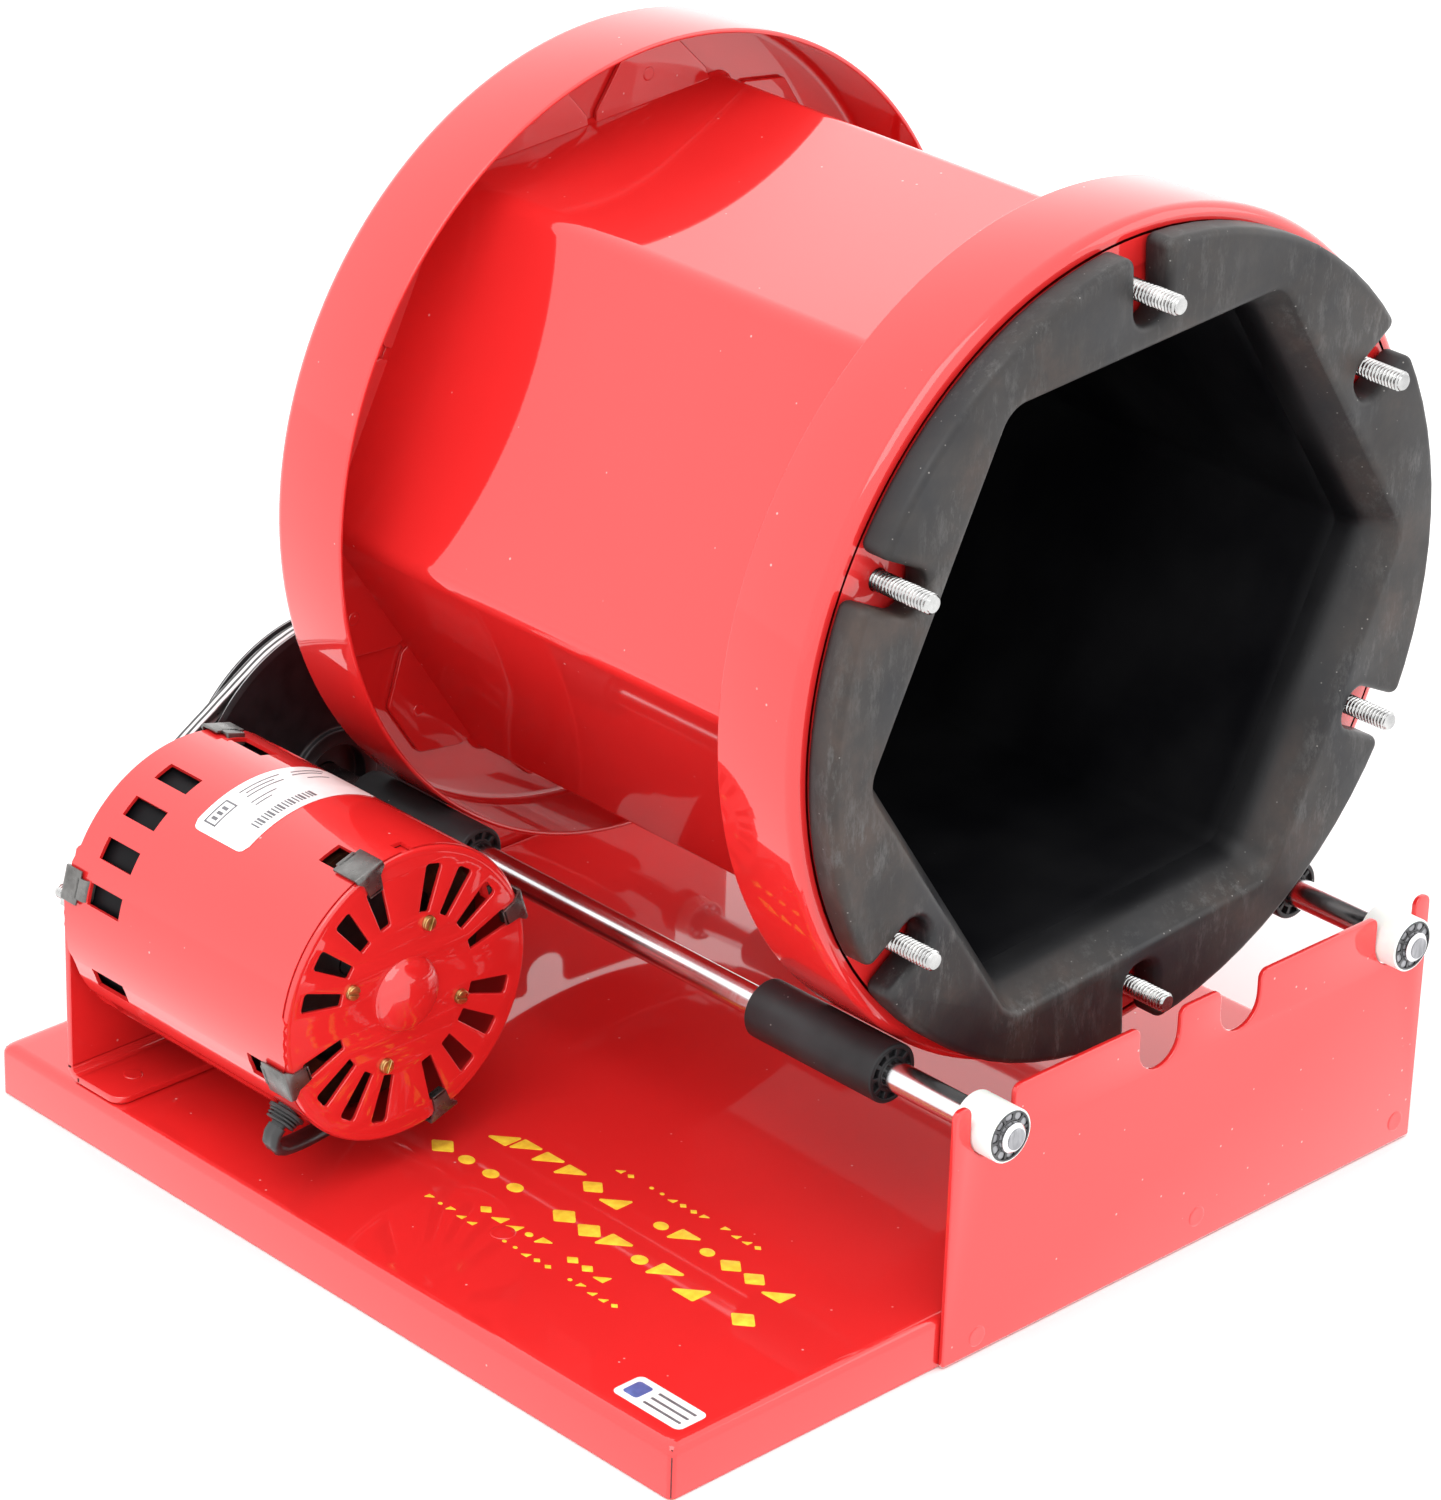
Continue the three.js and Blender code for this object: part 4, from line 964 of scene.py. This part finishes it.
def shell_shape():
    """The rolled shell, with its windows, the clips' slots, a notch and its saw-edged tabs."""
    spots = [(REAR_CLIPS + 90 * i + step, 4.3, *WINDOWS) for i in range(4) for step in (0, 36, 54, 72)]
    spots += [(FRONT_CLIPS + 90 * i, 5, SHELL_FRONT + 9, SHELL_FRONT + 17) for i in range(4)]
    spots.append((89, 2.5, SHELL_FRONT - 1, SHELL_FRONT + 5))
    holes = [((angle - half) % 360, (angle - half) % 360 + 2 * half, start, end)
             for angle, half, start, end in spots]
    cuts = {round(a % 360, 3) for low, high, _, _ in holes for a in (low, high)}
    angles = sorted(cuts | {round(2.5 * k, 3) for k in range(144)})
    angles = [a for a in angles if a in cuts or all(abs(a - c) > 0.6 for c in cuts)]
    ys = [SHELL_FRONT, SHELL_FRONT + 0.6, SHELL_FRONT + 5, SHELL_FRONT + 9, SHELL_FRONT + 17, 60,
          *WINDOWS, SHELL_REAR - 0.6, SHELL_REAR]

    def solid(i, k):
        after = angles[(k + 1) % len(angles)] + (360 if k == len(angles) - 1 else 0)
        angle, y = ((angles[k] + after) / 2) % 360, (ys[i] + ys[i + 1]) / 2
        return not any(low <= angle + turn <= high and start <= y <= end
                       for low, high, start, end in holes for turn in (0, 360, -360))

    def side(radius):
        rows = []
        for y in ys:
            row = []
            for k, angle in enumerate(angles):
                shift = 0
                if y == SHELL_FRONT and 172 < angle < 192:
                    shift = -1.1 - 0.5 * (k % 2)
                if y == SHELL_REAR and 150 < angle < 196:
                    shift = 1.0 + 0.5 * (k % 2)
                creases = (0.35 * math.exp(-((angle - 218) / 2.2) ** 2)
                           + 0.25 * math.exp(-((angle - 201) / 2.0) ** 2))
                x, z = polar(radius - creases, angle)
                row.append((x, y + shift, z))
            rows.append(row)
        return rows

    return sheet_skin(side(SHELL_R), side(SHELL_R - WALL), True, solid)


def vent_outlines():
    """The radial slots of a cover: four groups of four, each wider at the rim."""
    slot = filleted([(26, -1.95, 0.5), (41.5, -3.2, 1.2), (41.5, 3.2, 1.2), (26, 1.95, 0.5)], steps=3)
    return [turned(slot, 46.5 + 90 * group + 19 * (k - 1.5)) for group in range(4) for k in range(4)]


def cover_shape(with_shaft):
    """An end cover: pierced face, rolled rim and a domed boss, or a boss with the shaft's hole."""
    screws = [circle(1.7, *polar(SCREW_R, SCREWS + 90 * k), 16) for k in range(4)]
    face = plate([circle(45.4, steps=96), circle(9, steps=40), *vent_outlines(), *screws],
                 FACE, FACE + 1.4, 0.3, 2)
    rim = lathe([
        (44.9, FACE - 0.02), (47.2, FACE - 0.02, 1.1), (47.2, SHELL_FRONT - 0.4, 0.1),
        (46.1, SHELL_FRONT - 0.4, 0.1), (46.1, SHELL_FRONT + 5), (44.9, SHELL_FRONT + 5),
    ], 120, closed=True)
    if with_shaft:
        boss = lathe([(4.3, FACE - 4.4), (8.6, FACE - 4.4, 1.2), (12, FACE - 0.2, 2.5), (13.5, FACE + 0.1),
                      (13.5, FACE + 1.3), (4.3, FACE + 1.3)], 64, closed=True)
        return merged(face, rim, boss)
    dome = [(12 * u, FACE + 0.4 + 5.9 * v) for u, v in (polar(1, 6 * k - 90) for k in range(15))]
    boss = lathe(dome + [(12.2, FACE + 0.1), (13.2, FACE + 0.35), (13.2, FACE + 1.3), (0, FACE + 1.3)], 72)
    bush_seat = tube(0, 7.6, FACE - 2, FACE + 4, steps=24)
    return merged(face, rim, boss, bush_seat)


def cover_screw():
    """A slotted screw's domed head, on the +X side."""
    halves = [plate([[polar(2.25, first + 13 * k) for k in range(13)]], FACE - 1.5, FACE - 0.2, 0.3, 3)
              for first in (12, 192)]
    disc = lathe([(0, FACE - 0.9), (2.3, FACE - 0.9, 0.25), (2.5, FACE + 0.1, 0.2), (1.4, FACE + 0.1),
                  (1.4, FACE + 6), (0, FACE + 6)], 24)
    return moved(merged(*halves, disc), SCREW_R)


def spring_clip(broad_end, hook):
    """A strip bent over the cover's edge: a broad side, a tongue that hooks in, and an arm on the face."""
    y_face, thick, outside = FACE - 0.05, 0.9, SHELL_R + 0.35
    top, beyond = y_face - thick, outside + thick

    def strip(corners, half_width, edge=0.2):
        return plate([filleted(corners, steps=4)], -half_width, half_width, edge, 1, axes="xy")

    def row(x, half_width, y0=top, y1=y_face):
        return [(x, y, half_width * s) for y, s in ((y1, -1), (y1, 1), (y0, 1), (y0, -1))]

    side = strip([(outside, top + 0.4, 0.1), (beyond, top + 0.4, 0.7), (beyond, broad_end, 0.3),
                  (outside, broad_end, 0.3)], 5.5)
    tongue = strip([(outside, broad_end - 1), (beyond, broad_end - 1), (beyond, hook - 0.6, 0.8),
                    (outside - 2.6, hook + 0.6, 0.2), (outside - 3, hook - 0.2, 0.2),
                    (outside, hook - 1.5, 0.8)], 3.45)
    arm = loft([row(outside + 0.6, 5.3, top + 0.35, y_face + 0.2), row(outside - 0.6, 5.3),
                row(outside - 2.8, 3.1), row(outside - 7.4, 2.6)])
    foot = plate([filleted([(40, top, 0.1), (41, top), (41, y_face + 2.2), (40.4, y_face + 2.2)])],
                 -2.5, 2.5, 0.15, 1, axes="xy")
    return merged(side, tongue, arm, foot)


red("motor_shell_skin", shell_shape(), "motor_shell", at=MOTOR_AT)
red("front_cover_skin", cover_shape(False), "motor_front_cover", at=MOTOR_AT)
red("rear_cover_skin", flipped(cover_shape(True), MOTOR_MIDDLE), "motor_rear_cover", at=MOTOR_AT)
front_clip = spring_clip(SHELL_FRONT + 8.6, SHELL_FRONT + 10.2)
rear_clip = flipped(spring_clip(SHELL_FRONT + 5.4, SHELL_FRONT + 8.7), MOTOR_MIDDLE)
for i in range(4):
    piece(f"cover_screw_head_{i + 1}", swung(cover_screw(), SCREWS + 90 * i), BRASS, "base", "brass",
          f"cover_screw_{i + 1}", at=MOTOR_AT)
    for end, clip, first in (("front", front_clip, FRONT_CLIPS), ("rear", rear_clip, REAR_CLIPS)):
        piece(f"{end}_clip_strip_{i + 1}", swung(clip, first + 90 * i), SPRING, "base", "zinc_steel",
              f"{end}_clip_{i + 1}", at=MOTOR_AT, bevel=0.15)
# A ring behind the windows in near-black painted shade, so that they look dark inside.
piece("motor_air_guide", tube(44.2, 44.9, 88.5, 109, 0.2, 96, inner_fillet=0.2), SHADE_BLACK, "base",
      "black_plastic", at=MOTOR_AT)


def bent(rows, lift, steps):
    """A thin patch round the shell, through rows of (y, first angle, last angle)."""
    def side(radius):
        return [[(x, y, z) for x, z in (polar(radius, low + step * k) for k in range(steps + 1))]
                for y, low, step in ((y, low, (high - low) / steps) for y, low, high in rows)]

    return sheet_skin(side(SHELL_R + lift), side(SHELL_R + lift + 0.1))


def printed(low, high, front, back, steps=16):
    return bent([(y, low, high) for y in (front, (front + back) / 2, back)], 0.2, steps)


def label_paper():
    """A rectangle with rounded corners."""
    low, high, front, back, corner = 58, 125, 54.8, 78.8, 3
    rows = []
    for y in (front + (back - front) * k / 24 for k in range(25)):
        near = corner - min(y - front, back - y, corner)
        trim = math.degrees((corner - math.sqrt(max(0, corner ** 2 - near ** 2))) / (SHELL_R + 0.08))
        rows.append((y, low + trim, high - trim))
    return bent(rows, 0.08, 40)


def label_marks():
    """A plain frame with three blocks in it, a few rules and a row of short strokes."""
    marks = [printed(109.2, 121.1, y, y + 0.45) for y in (71.2, 75.9)]
    marks += [printed(a, a + 0.7, 71.2, 76.3, 3) for a in (109.2, 120.4)]
    marks += [printed(112 + 2.7 * k, 113.4 + 2.7 * k, 72.6, 74.9, 3) for k in range(3)]
    marks += [printed(low, high, y, y + 0.4) for low, high, y in (
        (85.6, 104, 75.3), (89.5, 102.7, 73.5), (86.9, 104, 71.7), (64.6, 80.3, 74.9),
        (67.2, 81.6, 72.9), (93.5, 105.3, 68.4), (97.4, 105.3, 66.4), (67.2, 77.7, 69.5))]
    for k in range(18):
        start = 85.6 + 1.6 * k
        marks.append(printed(start, start + (0.6 if k % 3 else 1), 57.5, 61.2, 2))
    return merged(*marks)


piece("motor_label", label_paper(), PAPER, "base", "red_enamel", at=MOTOR_AT)
piece("motor_label_marks", label_marks(), GREY_INK, "base", "red_enamel", at=MOTOR_AT)


def mount_stud(x, nut_low=122.4):
    """A threaded stud through the bracket with a chamfered hexagon nut and a washer."""
    washer = tube(2.6, 5, nut_low - 0.4, nut_low + 0.4, 0.2, 32)
    nut = plate([hexagon(4.0, 0.4, 15), circle(2.5, steps=24)], nut_low + 0.4, nut_low + 3.7, 0.35, 3)
    return moved(merged(washer, nut, threaded(2.35, 116.6, 132, 0.9, 0.45)), x)


for label, x in (("left", -MOUNT_X), ("right", MOUNT_X)):
    piece(f"mount_stud_{label}_thread", mount_stud(x), ZINC, "base", "zinc_steel", f"mount_stud_{label}",
          at=MOTOR_AT, sharp=50)


def relief_shape():
    """The strain relief along +X: a ribbed oblong head outside the shell and a tapered shank."""
    y, tip = 24.5, SHELL_R + 5

    def ring(length, width, x):
        """From half the oblong's length and half its width."""
        return [(x, y + u, v) for u, v in oblong(-length, -width, length, width, width - 0.05, 6)]

    head = ((5.9, 4.0, 0.35), (6.4, 4.5, 0.6), (6.4, 4.5, 1.5), (5.8, 3.9, 1.8))
    parts = [[ring(a, b, SHELL_R + x) for a, b, x in head]]
    for k in range(3):
        start, length, width = SHELL_R + 1.7 + 1.1 * k, 5.7 - 0.2 * k, 3.7 - 0.25 * k
        parts.append([ring(length + grow, width + grow, start + x)
                      for grow, x in ((-0.3, 0), (0, 0.2), (0, 0.65), (-0.3, 0.85))])
    parts.append([ring(4.4 - 0.5 * t, 3.3 - 0.5 * t, tip - 18 + 17.7 * t) for t in (0, 0.35, 0.7, 1)])
    parts.append([ring(2.7 - 0.2 * t, 1.25 - 0.1 * t, tip - 1 + 3.4 * t) for t in (0, 0.5, 1)])
    return merged(*(loft(rings) for rings in parts))


piece("strain_relief_body", swung(relief_shape(), 222), PLASTIC, "base", "black_plastic", "strain_relief",
      at=MOTOR_AT)

# ------------------------------------------------------------------ barrel
HOOP_R, HALF, BAND, BARREL_SHEET, APOTHEM = 133, 113.3, 31.2, 1.5, 99.4
BODY_END = HALF - BARREL_SHEET - 0.2
TURN = 4  # degrees that the barrel happens to be turned
STUD_R, STUDS = 114.6, 30  # the lid studs' circle, and the angle of the first


def body_shape():
    """The folded hexagonal tube, open at both ends."""
    rim = [(APOTHEM - BARREL_SHEET, 6.5, BODY_END), (APOTHEM + 1.2, 8, BODY_END),
           (APOTHEM + 0.3, 8, BODY_END - 0.9), (APOTHEM, 8, BODY_END - 2.2)]
    rings = [(apothem, fillet, -y) for apothem, fillet, y in rim]
    rings += [(APOTHEM, 8, y) for y in (-60, 0, 60)] + rim[::-1]
    return swung(loft(hex_rings(10, rings), closed=True), TURN)


def tabs_shape():
    """The tabs cut from each end and bent out against the hoops, two to a side, each spot welded."""
    inside = -BODY_END + BARREL_SHEET
    parts = []
    for side in (-1, 1):
        line = filleted([(APOTHEM - 1, side * 1.7), (102.4, side * 1.9, 1.5), (116.8, side * 13.4, 2.5),
                         (116.8, side * 37, 2.5), (104, side * 48.5, 2), (APOTHEM - 1, side * 50.5)])
        parts.append(plate([line[::side]], -BODY_END, inside, 0.45, 3))
        parts.append(moved(mirrored(dimple(2.4)), 108.8, inside, side * 24))
    one_end = ringed(merged(*parts), 6, 30)
    return swung(merged(one_end, mirrored(one_end)), TURN)


def hoop_lathe(inner):
    """A hoop's rolled edge and band, from the web at -Y."""
    inside, web, rim = HOOP_R - BARREL_SHEET, BARREL_SHEET - HALF, BAND - HALF
    return lathe([(inner, -HALF), (HOOP_R, -HALF, 4), (HOOP_R, rim, 0.7), (inside, rim, 0.7),
                  (inside, web, 2.5), (inner, web)], 180, closed=inner > 0, fillet_steps=7)


def front_hoop_shape():
    holes = [circle(3.5, *polar(STUD_R, STUDS + 60 * k), 20) for k in range(6)]
    web = plate([circle(128.5, steps=120), hexagon(APOTHEM - BARREL_SHEET, 7)] + holes,
                -HALF, -HALF + BARREL_SHEET, 0.1, 1)
    return swung(merged(web, hoop_lathe(127.5)), TURN)


def lid_stud():
    back = -HALF + BARREL_SHEET
    head = plate([hexagon(4.5, 0.5)], back + 0.3, back + 2.3, 0.3, 2)
    return moved(merged(threaded(3.2, -135.4, -HALF + 2, 1.27, 0.75), head), STUD_R)


red("barrel_skin", body_shape(), "barrel_body", "barrel", at=BARREL_AT, sharp=50)
red("barrel_tabs", tabs_shape(), body="barrel", at=BARREL_AT)
red("front_hoop_skin", front_hoop_shape(), "front_hoop", "barrel", at=BARREL_AT, sharp=40)
red("rear_hoop_skin", swung(flipped(hoop_lathe(0)), TURN), "rear_hoop", "barrel", at=BARREL_AT, sharp=40)
for i in range(6):
    piece(f"lid_stud_thread_{i + 1}", swung(lid_stud(), STUDS + 60 * i + TURN), ZINC, "barrel", "zinc_steel",
          f"lid_stud_{i + 1}", at=BARREL_AT, sharp=50)


def liner_flange():
    """The flange, with a slot for each lid stud."""
    radius, half = 129, 7
    edge, reach = math.degrees(math.asin(half / radius)), math.sqrt(radius ** 2 - half ** 2)
    part = [(reach, -half, 3), (105.5, -half, 6), (105.5, half, 6), (reach, half, 3)]
    part += [polar(radius, edge + (60 - 2 * edge) * step / 12) for step in range(1, 12)]
    line = [corner for k in range(6) for corner in turned(part, 60 * k + 30)]
    return plate([filleted(line), hexagon(98.2, 10, 0, 8)], -124.9, -113.7, 2.6, 5)


def liner_flare():
    """The soft slope from the flange's face down to the cup's wall."""
    rings = [(98.64, 10.4, -123.75), (97.3, 9.8, -121.6), (95.4, 9, -118.4), (93.7, 8.2, -116),
             (92.4, 7.6, -113.4), (91.7, 7.2, -110), (91.5, 7, -105.8), (93.4, 7, -105.8),
             (100, 7, -113.9), (100, 10, -122.2)]
    return loft(hex_rings(8, rings), closed=True)


def liner_cup():
    """The liner's wall and floor behind the flare."""
    inside = [(91.7, 7, -106), (91.5, 7, -100), (91.5, 7, -40), (91.3, 7, 40), (91, 7, 98), (90, 7, 102.5),
              (86.5, 7, 105.2), (82, 7, 105.8), (40, 4, 105.9)]
    outside = [(40, 4, 111.2), (95, 6, 111.2), (97.3, 6, 109), (97.5, 6, 0), (97.5, 6, -113.2)]
    disc = loft(hex_rings(8, [(40.5, 4, 105.9), (40.5, 4, 111.2)]))
    return merged(loft(hex_rings(8, inside + outside), closed=True), disc)


# The cup, in rubber darkened to near black as painted shade.
piece("liner_body", swung(liner_cup(), TURN), SHADE_BLACK, "liner", "black_rubber", "rubber_liner",
      at=BARREL_AT, sharp=45)
piece("liner_flange", swung(merged(liner_flange(), liner_flare()), TURN), LINER, "liner", "black_rubber",
      at=BARREL_AT, sharp=45)

# ------------------------------------------------------------------ nodes that keep their own shape
for node, material in (
        ("motor_stator", STACK), ("winding_front", COPPER), ("winding_rear", COPPER),
        ("motor_rotor", STACK), ("motor_fan", PLASTIC), ("motor_bush_front", BRASS),
        ("motor_bush_rear", BRASS), ("motor_shaft", STEEL)):
    for holder in [o for o in bpy.data.objects if o.type == "MESH" and o.name == node]:
        for cell in holder.material_slots:
            cell.material = material

# ------------------------------------------------------------------ floor and light, in metres
WHITE_SEEN = 1.95  # brightness of the surroundings in reflections
WHITE_LIT = 1.48  # and as light on the object
FLOOR_SEEN = 0.93 * WHITE_SEEN
FLOOR_HALF, FLOOR_Z = 9, -0.0004


def glossy_ray(tree):
    return place(tree, "ShaderNodeLightPath").outputs["Is Glossy Ray"]


def make_floor():
    mesh = bpy.data.meshes.new("floor")
    corners = [(x * FLOOR_HALF, y * FLOOR_HALF, FLOOR_Z) for x, y in ((-1, -1), (1, -1), (1, 1), (-1, 1))]
    mesh.from_pydata(corners, [], [(0, 1, 2, 3)])
    material, tree, principled = shader("floor_white", (0.86, 0.86, 0.86), 0.7)
    glow = place(tree, "ShaderNodeEmission", Strength=FLOOR_SEEN)
    mix = place(tree, "ShaderNodeMixShader")
    for socket, source in zip(mix.inputs, (glossy_ray(tree), principled.outputs[0], glow.outputs[0])):
        tree.links.new(source, socket)
    feed(tree.nodes["Material Output"], Surface=mix.outputs[0])
    mesh.materials.append(material)
    floor = bpy.data.objects.new("floor", mesh)
    bpy.context.scene.collection.objects.link(floor)


def make_world():
    world = bpy.data.worlds.new("studio")
    bpy.context.scene.world = world
    world.use_nodes = True
    tree = world.node_tree
    level = place(tree, "ShaderNodeMapRange", Value=glossy_ray(tree), To_Min=WHITE_LIT, To_Max=WHITE_SEEN)
    feed(tree.nodes["Background"], Color=(1, 1, 1, 1), Strength=level.outputs["Result"])


def make_light(name, position, target, size, power):
    data = bpy.data.lights.new(name, "AREA")
    data.shape = "RECTANGLE"
    data.size = data.size_y = size
    data.energy = power
    light = bpy.data.objects.new(name, data)
    light.location = position
    light.rotation_euler = (Vector(target) - Vector(position)).to_track_quat("-Z", "Y").to_euler()
    bpy.context.scene.collection.objects.link(light)


make_floor()
make_world()
make_light("key", (-0.9, -0.5, 1.9), (0, 0, 0.1), 1.4, 16)
make_light("fill", (1.6, -1.2, 1.1), (0, 0, 0.15), 1.2, 6)
bpy.context.scene.view_settings.view_transform = "Standard"
